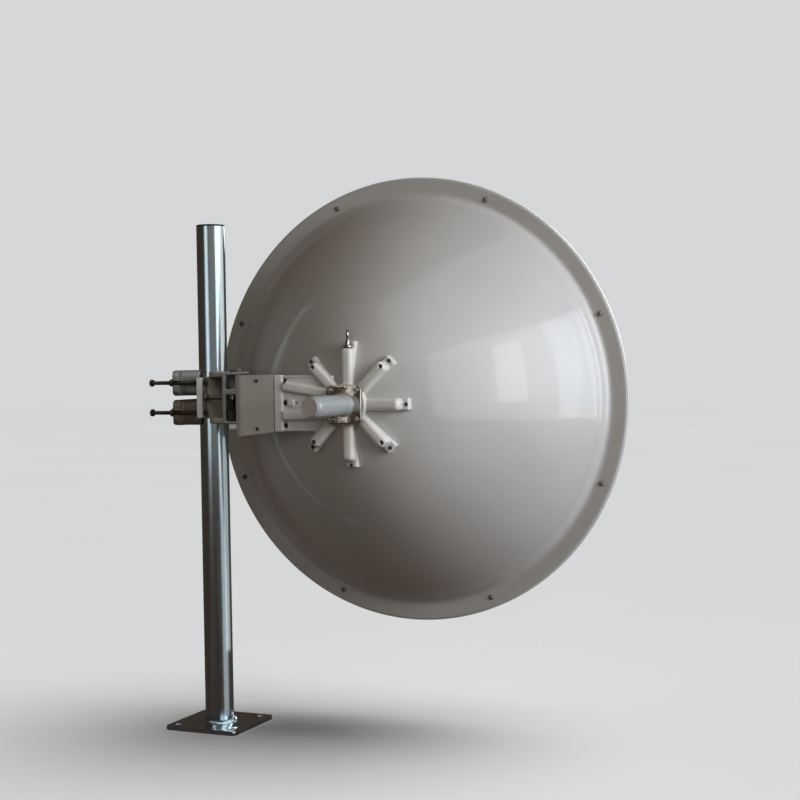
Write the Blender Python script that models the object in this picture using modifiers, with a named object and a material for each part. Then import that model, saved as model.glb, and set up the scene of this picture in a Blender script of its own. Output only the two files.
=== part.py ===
# Microwave dish antenna on a steel pole, as seen from behind
# Metres, +Z up. The origin is the middle of the underside of the pole's foot.
# The dish looks along +Y, its convex back faces -Y, and the pole stands on its -X side.
# Clamp and head pieces are placed from the clamp's centre, on the pole's axis.
# Dish pieces are placed from the centre of the rim, with local X right, Y up and Z to the rear.
import math

import bmesh
import bpy
from mathutils import Matrix, Vector

# Fit between pieces
GAP = 0.0003
BORE_PLAY = 0.0003
SLOT_PLAY = 0.0014

# Pole and foot
POLE_RADIUS = 0.0285
POLE_WALL = 0.003
POLE_TOP = 1.005
FOOT_SIDE = 0.160
FOOT_THICK = 0.008
FOOT_HOLE_RADIUS = 0.0065
FOOT_HOLE_AT = 0.060
CAP_TOP = 0.003
PLUG_DEPTH = 0.015
PLUG_WALL = 0.003

# Main places
DISH_CENTRE = Vector((0.349, 0.203, 0.650))
CLAMP_CENTRE = Vector((0, 0, DISH_CENTRE.z + 0.0125))

# Reflector and radome, as radii and heights to the rear of the rim plane
DISH_SIDES = 64
SHEET = 0.0022
FLANGE_RADIUS = 0.4490
BOWL_RINGS = 9
STEP_PROFILE = ((0.4085, 0.0095), (0.4120, 0.0040), (0.4180, 0.0))
BOWL_RADIUS = 0.4000
BOWL_START = 0.0215
BOWL_DEPTH = 0.3010
BOWL_HOLE = 0.0220
RADOME_RADIUS = 0.4515
RADOME_SHEET = 0.0030
RADOME_EDGE = 0.0085
RADOME_RISE = 0.0500
RADOME_RINGS = 6
RADOME_INNER = 0.4400
RADOME_SHOULDER = 0.4460

# Spider casting
ARM_ANGLES = (0, 45, 90, 135, 225, 270, 315)
BORED_ANGLES = (45, 135, 225, 315)
ARM_WIDTH = 0.0238
PAD_WIDTH = 0.0228
ARM_START = 0.030
ARM_END = 0.1064
ARM_CREST = 0.3102
ARM_FOOT = 0.2500
PAD_END = 0.1185
PAD_TOP = 0.2917
BORE_AT = 0.0994
BORE_RADIUS = 0.0045
BORE_FLOOR = 0.2920
HUB_RADIUS = 0.040
HUB_TOP = 0.3142
ARM_ROUND = 0.0085
PAD_START = 0.080
HUB_FOOT = 0.270
SEAT_LIFT = 0.0005
SEAT_REACH = 0.200
WEST_LEFT = -0.1557
WEST_STRIP_RIGHT = -0.1370
RIDGE_LENGTH = 0.112
RIDGE_WIDTH = 0.020
RIDGE_HEIGHT = 0.016
RIDGE_MIDDLE = (-0.0820, 0.3027)
RIDGE_ENDS = ((0.0365, 0.019), (-0.0205, -0.018))
WEST_LOW = -0.052
WEST_HIGH = 0.057
WEST_UNDER = 0.2920
WEST_TOP = 0.3020
WEST_FRONT = 0.3060

# Feed
FEED_PLATE_HALF = 0.036
FEED_PLATE_THICK = 0.008
FEED_TUBE_RADIUS = 0.0197
FEED_TUBE_WALL = 0.003
FEED_TUBE_TOP = 0.4440
FEED_CAP_END_RADIUS = 0.0176
FEED_CAP_LENGTH = 0.0160

# Lifting eye
EYE_WIRE = 0.0028
EYE_RING = 0.0075
EYE_HEIGHT = 0.2992
EYE_COLLAR = 0.0072
EYE_COLLAR_THICK = 0.0040
EYE_NECK = 0.0042
EYE_CENTRE = 0.1301
EYE_TURN = math.radians(24)

# Fasteners
M8 = 0.004
M8_HEAD = 0.0075
M8_HEAD_THICK = 0.0053
M8_NUT_THICK = 0.0065
M8_WASHER = 0.0090
M8_WASHER_THICK = 0.0016
M12 = 0.006
M12_HEAD = 0.0105
M12_HEAD_THICK = 0.0064

# Pole clamp
RIB_LEFT = 0.0107
RIB_SHOULDER = 0.0320
PLATE_A_LEFT = 0.0570
PLATE_A_RIGHT = 0.0650
BRACKET_HALF_DEPTH = 0.056
PLATE_REAR = 0.028
RIB_INNER = 0.0405
RIB_OUTER = 0.0515
BAR_LEFT = -0.0106
BAR_INNER = 0.030
BAR_OUTER = 0.050
JAW_LEFT = -0.0676
EAR_RIGHT = -0.0515
JAW_RIGHT = -0.0120
JAW_INNER = 0.0040
JAW_OUTER = 0.0550
JAW_HALF_DEPTH = 0.0355
EAR_HALF_DEPTH = 0.052
JAW_ROUND = 0.016
EAR_ROUND = 0.008
NOTCH_HALF = 0.0300
WEB_LEFT = 0.0035
WEB_KNEE = 0.0122
WEB_HALF_DEPTH = 0.0355
STEM_LEFT = 0.0420
STEM_HALF_DEPTH = 0.0057
CLAMP_BOLT_Y = 0.040
CLAMP_BOLT_Z = 0.030
CLAMP_BOLT_HEAD = -0.1171
CLAMP_BOLT_TIP = 0.0087

# Elevation joint, where plate B turns against plate A
PLATE_B_LEFT = PLATE_A_RIGHT + GAP
PLATE_B_RIGHT = PLATE_B_LEFT + 0.008
ELEVATION_BOLT_Y = -0.045
ELEVATION_BOLT_HEAD = 0.0141
ELEVATION_BOLT_TIP = 0.0860
ELEVATION_LIMIT = math.radians(10)

# Swivel bracket, hinge and arm plate
PLATE_B_HALF_HEIGHT = 0.050
LUG_FRONT = -0.078
LUG_BACK = -0.035
LUG_TAPER = 0.0200
LUG_TOP_RIGHT = 0.1244
LUG_BOTTOM_RIGHT = 0.121
MIDDLE_RIB_RIGHT = 0.1000
MIDDLE_RIB_BACK = -0.0515
WEB_RIGHT = 0.0855
WEB_FRONT = -0.0600
WEB_BACK = -0.0555
LUG_TOP = 0.0510
LUG_TOP_UNDER = 0.0448
LUG_BOTTOM = -0.0505
LUG_BOTTOM_TOP = -0.0455
BLOCK_LEFT = 0.0870
LOWER_BLOCK_LEFT = 0.0790
BLOCK_RIGHT = 0.165
BLOCK_FRONT = -0.0660
BLOCK_TAIL_FRONT = -0.0770
BLOCK_BACK = -0.0450
BLOCK_SHOULDER = 0.0185
BLOCK_FOOT = -0.0612
HINGE_BOLT_TIP = -0.0735
MIDDLE_RIB_LOW = 0.0065
MIDDLE_RIB_HIGH = 0.0168
HINGE_X = 0.093
HINGE_Y = -0.058
ADJUSTER_X = 0.0835
ADJUSTER_Y = -0.070
ADJUSTER_COLLAR = 0.0055
ADJUSTER_NUT = 0.0098
ADJUSTER_NUT_TOP = -0.0245
PLATE_LEFT = 0.1015
PLATE_RIGHT = 0.1930
PLATE_FACE = -0.1030
PLATE_WALL = 0.006
PLATE_BEND = 0.022
PLATE_LIP_END = -0.0785
PLATE_BACK = -0.0585
TONGUE_RIGHT = 0.221
PLATE_TOP = 0.0445
PLATE_BOTTOM_LEFT = -0.0745
PLATE_BOTTOM_RIGHT = -0.0645

# Finishes, as red, green, blue, roughness and metallic
GALVANISED = (0.55, 0.57, 0.58, 0.30, 1.0)
BRIGHT_ZINC = (0.60, 0.58, 0.52, 0.25, 1.0)
GREY_CASTING = (0.40, 0.40, 0.38, 0.50, 0.6)
LIGHT_PAINT = (0.62, 0.61, 0.57, 0.35, 0.0)
DISH_PAINT = (0.60, 0.58, 0.54, 0.25, 0.0)
DARK_STEEL = (0.16, 0.14, 0.12, 0.45, 1.0)
BLACK_PLASTIC = (0.03, 0.03, 0.03, 0.50, 0.0)
WHITE_PLASTIC = (0.80, 0.80, 0.78, 0.40, 0.0)
BRIGHT_STEEL = (0.75, 0.75, 0.75, 0.15, 1.0)
TUBE_PAINT = (0.50, 0.54, 0.55, 0.35, 0.3)

AXIS_TURN = {
    "x": Matrix.Rotation(math.radians(90), 4, "Y"),
    "y": Matrix.Rotation(math.radians(-90), 4, "X"),
    "z": Matrix.Identity(4),
}


def clear_scene():
    for obj in list(bpy.data.objects):
        bpy.data.objects.remove(obj, do_unlink=True)


def new_collection(name):
    made = bpy.data.collections.new(name)
    bpy.context.scene.collection.children.link(made)
    return made


def give_finish(obj, finish):
    """A piece gets its own material, and a cutter or a helper solid is shown as wires."""
    if finish is None:
        TOOLS.objects.link(obj)
        obj.hide_render = True
        obj.display_type = "WIRE"
        return
    PARTS.objects.link(obj)
    made = bpy.data.materials.new(obj.name)
    made.use_nodes = True
    shader = made.node_tree.nodes["Principled BSDF"]
    shader.inputs["Base Color"].default_value = (finish[0], finish[1], finish[2], 1.0)
    shader.inputs["Roughness"].default_value = finish[3]
    shader.inputs["Metallic"].default_value = finish[4]
    obj.data.materials.append(made)


def object_from(name, bm, location, finish=None, parent=None):
    mesh = bpy.data.meshes.new(name)
    bm.to_mesh(mesh)
    bm.free()
    obj = bpy.data.objects.new(name, mesh)
    obj.location = location
    obj.parent = parent
    give_finish(obj, finish)
    return obj


def box(name, low, high, finish=None, parent=None, corner=0.0, along="z", corner_segments=3):
    """A box between two corners, with the edges along one axis rounded where corner is given."""
    low, high = Vector(low), Vector(high)
    bm = bmesh.new()
    bmesh.ops.create_cube(bm, size=1.0)
    bmesh.ops.scale(bm, verts=bm.verts, vec=high - low)
    if corner > 0:
        index = "xyz".index(along)
        edges = []
        for edge in bm.edges:
            run = edge.verts[0].co - edge.verts[1].co
            if abs(run[index]) > 0.9 * run.length:
                edges.append(edge)
        bmesh.ops.bevel(bm, geom=edges, offset=corner, segments=corner_segments, profile=0.5, affect="EDGES")
    return object_from(name, bm, (low + high) / 2, finish, parent)


def rod(name, start, end, radius, finish=None, parent=None, sides=24, axis="z"):
    start, end = Vector(start), Vector(end)
    bm = bmesh.new()
    length = (end - start).length
    bmesh.ops.create_cone(bm, cap_ends=True, segments=sides, radius1=radius, radius2=radius, depth=length)
    bmesh.ops.transform(bm, matrix=AXIS_TURN[axis], verts=bm.verts)
    return object_from(name, bm, (start + end) / 2, finish, parent)


def boolean(target, tool, operation):
    modifier = target.modifiers.new(tool.name, "BOOLEAN")
    modifier.object = tool
    modifier.operation = operation
    modifier.solver = "EXACT"


def cut(target, *tools):
    for tool in tools:
        boolean(target, tool, "DIFFERENCE")


def join(target, *tools):
    for tool in tools:
        boolean(target, tool, "UNION")


def round_edges(obj, width, segments=2):
    modifier = obj.modifiers.new("Rounded edges", "BEVEL")
    modifier.width = width
    modifier.segments = segments
    modifier.limit_method = "ANGLE"
    modifier.angle_limit = math.radians(40)


def shade_round(obj, angle=35):
    obj.data.shade_smooth()
    obj.data.set_sharp_from_angle(angle=math.radians(angle))


def turned(name, profile, closed, finish=None, parent=None):
    """A piece turned about local Z, from radius and height points that run down its outer side."""
    points = [(radius, 0.0, height) for radius, height in profile]
    edges = [(i, i + 1) for i in range(len(points) - 1)]
    if closed:
        edges.append((len(points) - 1, 0))
    mesh = bpy.data.meshes.new(name)
    mesh.from_pydata(points, edges, [])
    obj = bpy.data.objects.new(name, mesh)
    obj.parent = parent
    screw = obj.modifiers.new("Turned", "SCREW")
    screw.axis = "Z"
    screw.steps = DISH_SIDES
    screw.render_steps = DISH_SIDES
    screw.use_merge_vertices = True
    screw.merge_threshold = 0.00001
    screw.use_smooth_shade = True
    give_finish(obj, finish)
    return obj


def flat_outline(name, points, low, high, finish=None, parent=None):
    """A flat outline in X and Y, made solid from height low to height high."""
    curve = bpy.data.curves.new(name, "CURVE")
    curve.dimensions = "2D"
    curve.fill_mode = "BOTH"
    curve.extrude = (high - low) / 2
    spline = curve.splines.new("POLY")
    spline.points.add(len(points) - 1)
    for point, place in zip(spline.points, points):
        point.co = (place[0], place[1], 0.0, 1.0)
    spline.use_cyclic_u = True
    shape = bpy.data.objects.new(name, curve)
    bpy.context.scene.collection.objects.link(shape)
    depsgraph = bpy.context.evaluated_depsgraph_get()
    mesh = bpy.data.meshes.new_from_object(shape.evaluated_get(depsgraph))
    bpy.data.objects.remove(shape)
    bpy.data.curves.remove(curve)
    bm = bmesh.new()
    bm.from_mesh(mesh)
    bpy.data.meshes.remove(mesh)
    bmesh.ops.remove_doubles(bm, verts=bm.verts, dist=0.00001)
    return object_from(name, bm, (0, 0, (low + high) / 2), finish, parent)


def axis_empty(name, location, parent=None, rotation=(0, 0, 0)):
    made = bpy.data.objects.new(name, None)
    made.location = location
    made.rotation_euler = rotation
    made.parent = parent
    PARTS.objects.link(made)
    return made


def bolt(name, head, tip, radius, head_radius, head_thick, finish, parent, axis="x"):
    """A hexagon bolt. Its shank runs from under the head to the tip, and the head lies behind it."""
    head, tip = Vector(head), Vector(tip)
    back = (head - tip).normalized()
    made = rod(name, head + back * head_thick / 2, tip, radius, finish, parent, 16, axis)
    join(made, rod(name + "_head", head, head + back * head_thick, head_radius, None, parent, 6, axis))
    return made


def nut(name, seat, way, radius, nut_radius, nut_thick, finish, parent, axis="x", washer=None):
    """A hexagon nut, with a washer where a radius is given. Its bore clears the bolt by a little."""
    seat, way = Vector(seat), Vector(way)
    under = M8_WASHER_THICK if washer else 0.0
    end = seat + way * (under + nut_thick)
    made = rod(name, seat + way * under, end, nut_radius, finish, parent, 6, axis)
    if washer:
        join(made, rod(name + "_washer", seat, seat + way * (under + 0.0005), washer, None, parent, 20, axis))
    bore = rod(name + "_bore", seat - way * 0.01, end + way * 0.01, radius + BORE_PLAY, None, parent, 16,
               axis)
    cut(made, bore)
    return made


def bowl_height(radius):
    """Height of the bowl's rear face above the rim plane."""
    return BOWL_START + (BOWL_DEPTH - BOWL_START) * (1 - (radius / BOWL_RADIUS) ** 2)


def build_mast():
    pole = rod("pole", (0, 0, FOOT_THICK + GAP), (0, 0, POLE_TOP), POLE_RADIUS, GALVANISED, None, 48)
    cut(pole, rod("pole_inside", (0, 0, 0), (0, 0, POLE_TOP + 0.01), POLE_RADIUS - POLE_WALL, None, None, 48))
    shade_round(pole)
    foot = box("pole_foot", (-FOOT_SIDE / 2, -FOOT_SIDE / 2, 0), (FOOT_SIDE / 2, FOOT_SIDE / 2, FOOT_THICK),
               GALVANISED, None, 0.010)
    for x in (-FOOT_HOLE_AT, FOOT_HOLE_AT):
        for y in (-FOOT_HOLE_AT, FOOT_HOLE_AT):
            hole = rod("foot_hole", (x, y, -0.01), (x, y, FOOT_THICK + 0.01), FOOT_HOLE_RADIUS)
            cut(foot, hole)
    # The cap is a disc on the tube's end with a plug that reaches down inside it
    cap = rod("pole_cap", (0, 0, POLE_TOP + GAP), (0, 0, POLE_TOP + CAP_TOP), POLE_RADIUS, BLACK_PLASTIC,
              None, 48)
    plug_radius = POLE_RADIUS - POLE_WALL - GAP
    plug_end = POLE_TOP - PLUG_DEPTH
    join(cap, rod("cap_plug", (0, 0, plug_end), (0, 0, POLE_TOP + CAP_TOP / 2), plug_radius, None, None, 48))
    cut(cap, rod("cap_hollow", (0, 0, plug_end - 0.01), (0, 0, POLE_TOP - 0.001), plug_radius - PLUG_WALL))
    shade_round(cap)


def notch(name, side, low, high, parent):
    """Cutter for a V notch that opens to the left for side -1 and to the right for side 1."""
    apex = (POLE_RADIUS + GAP) * math.sqrt(2)
    knee = apex - NOTCH_HALF
    far = 0.09
    points = [(-side * apex, 0), (-side * knee, -NOTCH_HALF), (side * far, -NOTCH_HALF),
              (side * far, NOTCH_HALF), (-side * knee, NOTCH_HALF)]
    if side > 0:
        points.reverse()
    return flat_outline(name, points, low, high, None, parent)


def build_clamp(axis):
    """Two jaws with bolts, and the bracket with two ribs and a V web that they pull against the pole."""
    rib = [(RIB_LEFT, -WEB_HALF_DEPTH), (RIB_SHOULDER, -BRACKET_HALF_DEPTH),
           (PLATE_A_RIGHT, -BRACKET_HALF_DEPTH), (PLATE_A_RIGHT, PLATE_REAR), (STEM_LEFT, PLATE_REAR),
           (RIB_LEFT, WEB_HALF_DEPTH)]
    bracket = flat_outline("mast_bracket", rib, RIB_INNER, RIB_OUTER, GREY_CASTING, axis)
    join(bracket,
         flat_outline("bracket_lower_rib", rib, -RIB_OUTER, -RIB_INNER, None, axis),
         box("bracket_plate", (PLATE_A_LEFT, -BRACKET_HALF_DEPTH, -RIB_OUTER + 0.001),
             (PLATE_A_RIGHT, PLATE_REAR, RIB_OUTER - 0.001), None, axis))
    half = [(WEB_LEFT, WEB_HALF_DEPTH), (WEB_KNEE, WEB_HALF_DEPTH),
            (STEM_LEFT, STEM_HALF_DEPTH), (PLATE_A_LEFT + 0.001, STEM_HALF_DEPTH)]
    web = [(x, -y) for x, y in half] + half[::-1]
    join(bracket, flat_outline("bracket_web", web, -RIB_INNER - 0.001, RIB_INNER + 0.001, None, axis))
    head_room = M12_HEAD + 0.002
    cut(bracket,
        notch("bracket_notch", -1, -0.06, 0.06, axis),
        rod("pivot_head_room", (PLATE_A_LEFT - 0.0105, 0, 0), (PLATE_A_LEFT, 0, 0), head_room, None, axis, 24,
            "x"))
    y = ELEVATION_BOLT_Y
    cut(bracket, rod("bracket_bolt_hole", (0.05, y, 0), (0.08, y, 0), M8 + BORE_PLAY, None, axis, 16, "x"))
    cut(bracket, rod("bracket_pivot_hole", (0.05, 0, 0), (0.08, 0, 0), M12 + BORE_PLAY, None, axis, 20, "x"))
    for side, place in ((-1, "front"), (1, "rear")):
        y_low, y_high = sorted((side * BAR_INNER, side * BAR_OUTER))
        z_end = RIB_INNER - GAP
        bar = box("clamp_bar_" + place, (BAR_LEFT, y_low, -z_end), (WEB_LEFT - GAP, y_high, z_end),
                  LIGHT_PAINT, axis)
        y = side * CLAMP_BOLT_Y
        for z in (-CLAMP_BOLT_Z, CLAMP_BOLT_Z):
            cut(bar, rod("bar_bolt_hole", (-0.03, y, z), (0.02, y, z), M8 + BORE_PLAY, None, axis, 16, "x"))
    for level, place in ((-1, "lower"), (1, "upper")):
        z_low, z_high = sorted((level * JAW_INNER, level * JAW_OUTER))
        jaw = box("clamp_jaw_" + place, (JAW_LEFT, -JAW_HALF_DEPTH, z_low),
                  (JAW_RIGHT, JAW_HALF_DEPTH, z_high), GREY_CASTING, axis, JAW_ROUND, "x")
        ears_left = JAW_LEFT + 0.0005
        ears = box("jaw_ears", (ears_left, -EAR_HALF_DEPTH, z_low), (EAR_RIGHT, EAR_HALF_DEPTH, z_high),
                   None, axis, JAW_ROUND, "x")
        plan = box("jaw_ears_plan", (ears_left, -EAR_HALF_DEPTH, z_low - 0.001),
                   (EAR_RIGHT + EAR_ROUND, EAR_HALF_DEPTH, z_high + 0.001), None, axis, EAR_ROUND, "z")
        boolean(ears, plan, "INTERSECT")
        join(jaw, ears)
        cut(jaw, notch("jaw_notch", 1, z_low - 0.01, z_high + 0.01, axis))
        z = level * CLAMP_BOLT_Z
        for side, depth in ((-1, "front"), (1, "rear")):
            y = side * CLAMP_BOLT_Y
            cut(jaw, rod("jaw_bolt_hole", (-0.08, y, z), (-0.03, y, z), M8 + BORE_PLAY, None, axis, 16, "x"))
            # Each ear is open to its side, so that the bolt swings in
            y_low, y_high = sorted((y, side * (EAR_HALF_DEPTH + 0.01)))
            half = M8 + BORE_PLAY
            slot = box("jaw_slot", (-0.08, y_low, z - half), (EAR_RIGHT + 0.001, y_high, z + half), None,
                       axis)
            cut(jaw, slot)
            label = depth + "_" + place
            bolt("clamp_bolt_" + label, (CLAMP_BOLT_HEAD, y, z), (CLAMP_BOLT_TIP, y, z), M8, M8_HEAD,
                 M8_HEAD_THICK, DARK_STEEL, axis)
            nut("clamp_nut_" + label, (JAW_LEFT - GAP, y, z), (-1, 0, 0), M8, M8_HEAD, M8_NUT_THICK,
                DARK_STEEL, axis, "x", M8_WASHER)
    bolt("elevation_bolt", (ELEVATION_BOLT_HEAD, ELEVATION_BOLT_Y, 0),
         (ELEVATION_BOLT_TIP, ELEVATION_BOLT_Y, 0), M8, M8_HEAD, M8_HEAD_THICK, BRIGHT_ZINC, axis)
    nut("elevation_nut", (PLATE_B_RIGHT + GAP, ELEVATION_BOLT_Y, 0), (1, 0, 0), M8, M8_HEAD, M8_NUT_THICK,
        BRIGHT_ZINC, axis, "x", M8_WASHER)
    bolt("elevation_pivot", (PLATE_A_LEFT - GAP, 0, 0), (0.086, 0, 0), M12, M12_HEAD, M12_HEAD_THICK,
         BRIGHT_ZINC, axis)
    nut("elevation_pivot_nut", (PLATE_B_RIGHT + GAP, 0, 0), (1, 0, 0), M12, M12_HEAD, M12_HEAD_THICK,
        BRIGHT_ZINC, axis)


def build_swivel(axis):
    """Plate B with its lugs, the hinge blocks and bolt, and the adjuster between the lugs."""
    bracket = box("swivel_bracket", (PLATE_B_LEFT, LUG_FRONT + 0.0005, -PLATE_B_HALF_HEIGHT),
                  (PLATE_B_RIGHT, PLATE_REAR, PLATE_B_HALF_HEIGHT), GREY_CASTING, axis)
    start = PLATE_B_RIGHT - 0.002
    for name, right, low, high in (("lug_top", LUG_TOP_RIGHT, LUG_TOP_UNDER, LUG_TOP),
                                   ("lug_bottom", LUG_BOTTOM_RIGHT, LUG_BOTTOM, LUG_BOTTOM_TOP)):
        outline = [(start, LUG_FRONT), (right, LUG_FRONT), (right - LUG_TAPER, LUG_BACK), (start, LUG_BACK)]
        join(bracket, flat_outline(name, outline, low, high, None, axis))
    join(bracket,
         box("lug_middle", (start, LUG_FRONT, MIDDLE_RIB_LOW),
             (MIDDLE_RIB_RIGHT, WEB_BACK - 0.0005, MIDDLE_RIB_HIGH), None, axis),
         box("lug_middle_boss", (WEB_RIGHT - 0.0005, LUG_FRONT + 0.0005, MIDDLE_RIB_LOW + 0.0005),
             (MIDDLE_RIB_RIGHT - 0.0005, MIDDLE_RIB_BACK, MIDDLE_RIB_HIGH - 0.0005), None, axis),
         box("lug_web", (start, WEB_FRONT, MIDDLE_RIB_HIGH - 0.001),
             (WEB_RIGHT, WEB_BACK, LUG_TOP_UNDER + 0.001), None, axis))
    swing = abs(ELEVATION_BOLT_Y) * math.sin(ELEVATION_LIMIT)
    half = M8 + SLOT_PLAY
    cut(bracket, box("arc_slot", (0.05, ELEVATION_BOLT_Y - half, -swing - half),
                     (0.09, ELEVATION_BOLT_Y + half, swing + half), None, axis, 0.0045, "x"))
    cut(bracket, rod("swivel_pivot_hole", (0.05, 0, 0), (0.09, 0, 0), M12 + BORE_PLAY, None, axis, 20, "x"))
    cut(bracket, rod("hinge_hole", (HINGE_X, HINGE_Y, LUG_BOTTOM - 0.01), (HINGE_X, HINGE_Y, LUG_TOP + 0.01),
                     M8 + BORE_PLAY, None, axis, 16))
    block_top = LUG_TOP_UNDER - GAP
    under_flange = PLATE_TOP - PLATE_WALL - GAP
    upper = box("hinge_block_upper", (BLOCK_LEFT, BLOCK_FRONT, BLOCK_SHOULDER),
                (PLATE_LEFT - GAP, BLOCK_BACK, block_top), GREY_CASTING, axis)
    join(upper,
         box("upper_block_neck", (PLATE_LEFT - 0.002, BLOCK_FRONT + 0.0005, BLOCK_SHOULDER + 0.0005),
             (PLATE_LEFT + 0.012, BLOCK_BACK - 0.0005, under_flange), None, axis),
         box("upper_block_tail", (PLATE_LEFT + 0.010, BLOCK_TAIL_FRONT, BLOCK_SHOULDER),
             (BLOCK_RIGHT, BLOCK_BACK, under_flange), None, axis))
    lower = box("hinge_block_lower", (LOWER_BLOCK_LEFT, BLOCK_TAIL_FRONT, BLOCK_FOOT),
                (BLOCK_RIGHT, BLOCK_BACK, LUG_BOTTOM - GAP), LIGHT_PAINT, axis)
    for block, middle in ((upper, BLOCK_SHOULDER + 0.02), (lower, BLOCK_FOOT + 0.005)):
        cut(block, rod("block_hole", (HINGE_X, HINGE_Y, middle - 0.03), (HINGE_X, HINGE_Y, middle + 0.03),
                       M8 + BORE_PLAY, None, axis, 16))
    bolt("hinge_bolt", (HINGE_X, HINGE_Y, LUG_TOP + GAP), (HINGE_X, HINGE_Y, HINGE_BOLT_TIP), M8, M8_HEAD,
         M8_HEAD_THICK, BRIGHT_ZINC, axis, "z")
    nut("hinge_nut", (HINGE_X, HINGE_Y, BLOCK_FOOT - GAP), (0, 0, -1), M8, M8_HEAD, M8_NUT_THICK, BRIGHT_ZINC,
        axis, "z", M8_WASHER)
    screw_top = MIDDLE_RIB_LOW - GAP
    screw_foot = LUG_BOTTOM_TOP + GAP
    adjuster = rod("adjuster_screw", (ADJUSTER_X, ADJUSTER_Y, screw_foot),
                   (ADJUSTER_X, ADJUSTER_Y, screw_top), M8, BRIGHT_ZINC, axis, 16)
    join(adjuster, rod("adjuster_collar", (ADJUSTER_X, ADJUSTER_Y, screw_top - 0.010),
                       (ADJUSTER_X, ADJUSTER_Y, screw_top), ADJUSTER_COLLAR, None, axis, 20))
    adjuster_nut = rod("adjuster_nut", (ADJUSTER_X, ADJUSTER_Y, screw_foot),
                       (ADJUSTER_X, ADJUSTER_Y, ADJUSTER_NUT_TOP), ADJUSTER_NUT, DARK_STEEL, axis, 6)
    cut(adjuster_nut, rod("adjuster_nut_bore", (ADJUSTER_X, ADJUSTER_Y, screw_foot - 0.01),
                          (ADJUSTER_X, ADJUSTER_Y, ADJUSTER_NUT_TOP + 0.01), M8 + BORE_PLAY, None, axis, 16))


def build_arm_plate(axis):
    """Channel that closes over the hinge blocks, with a rounded left edge and a tongue at its right."""
    bend = PLATE_BEND
    points = [(PLATE_RIGHT, PLATE_FACE)]
    for step in range(7):
        angle = math.radians(90 * step / 6)
        points.append((PLATE_LEFT + bend - bend * math.sin(angle),
                       PLATE_FACE + bend - bend * math.cos(angle)))
    points.append((PLATE_LEFT, PLATE_LIP_END))
    points.append((PLATE_LEFT + PLATE_WALL, PLATE_LIP_END))
    inner = bend - PLATE_WALL
    for step in range(5):
        angle = math.radians(90 - 90 * step / 4)
        points.append((PLATE_LEFT + bend - inner * math.sin(angle),
                       PLATE_FACE + bend - inner * math.cos(angle)))
    points.append((PLATE_RIGHT, PLATE_FACE + PLATE_WALL))
    points.reverse()
    plate = flat_outline("arm_plate", points, PLATE_BOTTOM_LEFT, PLATE_TOP, LIGHT_PAINT, axis)
    front = PLATE_FACE + 0.002
    wall_low = PLATE_TOP - PLATE_WALL
    # The upper and lower walls start inside the bend and end at the plate's back
    middle_radius = bend - 0.002
    rim = [(PLATE_RIGHT, front)]
    for step in range(5):
        angle = math.radians(90 * step / 4)
        rim.append((PLATE_LEFT + bend - middle_radius * math.sin(angle),
                    PLATE_FACE + bend - middle_radius * math.cos(angle)))
    rim += [(PLATE_LEFT + 0.002, PLATE_LIP_END), (PLATE_LEFT, PLATE_LIP_END), (PLATE_LEFT, PLATE_BACK),
            (PLATE_RIGHT, PLATE_BACK)]
    tongue_front = DISH_CENTRE.y - WEST_UNDER + GAP
    join(plate,
         flat_outline("plate_top_wall", rim[::-1], wall_low, PLATE_TOP, None, axis),
         box("plate_right_wall", (PLATE_RIGHT - PLATE_WALL, front, -0.060),
             (PLATE_RIGHT, PLATE_BACK - 0.0075, PLATE_TOP), None, axis),
         box("plate_tongue", (PLATE_RIGHT - 0.002, tongue_front, -0.050),
             (TONGUE_RIGHT, tongue_front + 0.0117, 0.036), None, axis))
    # The lower wall slopes with the plate's lower edge
    slope = math.atan2(PLATE_BOTTOM_RIGHT - PLATE_BOTTOM_LEFT, PLATE_RIGHT - PLATE_LEFT)
    middle = Vector(((PLATE_LEFT + PLATE_RIGHT) / 2, 0, (PLATE_BOTTOM_LEFT + PLATE_BOTTOM_RIGHT) / 2))
    run = PLATE_RIGHT - PLATE_LEFT
    along = 1 / math.cos(slope)
    shifted = [((x - middle.x) * along, y) for x, y in rim]
    wall = flat_outline("plate_lower_wall", shifted[::-1], 0, PLATE_WALL, None, axis)
    wall.location = middle + Matrix.Rotation(-slope, 3, "Y") @ wall.location
    wall.rotation_euler = (0, -slope, 0)
    trim = box("plate_lower_trim", (-run, -0.12, -0.05), (run, 0.0, 0), None, axis)
    trim.location += middle + Matrix.Rotation(-slope, 3, "Y") @ trim.location - trim.location
    trim.rotation_euler = (0, -slope, 0)
    ends = (box("plate_trim_left", (0.05, -0.12, -0.12), (PLATE_LEFT, 0.0, 0.06), None, axis),
            box("plate_trim_right", (PLATE_RIGHT, -0.12, -0.12), (0.25, 0.0, -0.055), None, axis))
    join(plate, wall)
    cut(plate, trim, *ends)


def build_reflector(frame):
    """One spun sheet: the bowl, the step at its edge and the flat flange."""
    radii = [BOWL_HOLE + (BOWL_RADIUS - BOWL_HOLE) * i / BOWL_RINGS for i in range(BOWL_RINGS + 1)]
    back = [(radius, bowl_height(radius)) for radius in radii]
    back += [*STEP_PROFILE, (FLANGE_RADIUS, 0.0)]
    front = [(FLANGE_RADIUS, -SHEET)]
    front += [(radius - SHEET * 0.95, height - SHEET) for radius, height in reversed(STEP_PROFILE)]
    slope = 2 * (BOWL_DEPTH - BOWL_START) / BOWL_RADIUS ** 2
    for radius in reversed(radii):
        length = math.hypot(1, slope * radius)
        inset = radius - SHEET * slope * radius / length
        front.append((max(inset, BOWL_HOLE), bowl_height(radius) - SHEET / length))
    turned("reflector", back + front, True, DISH_PAINT, frame)


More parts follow.
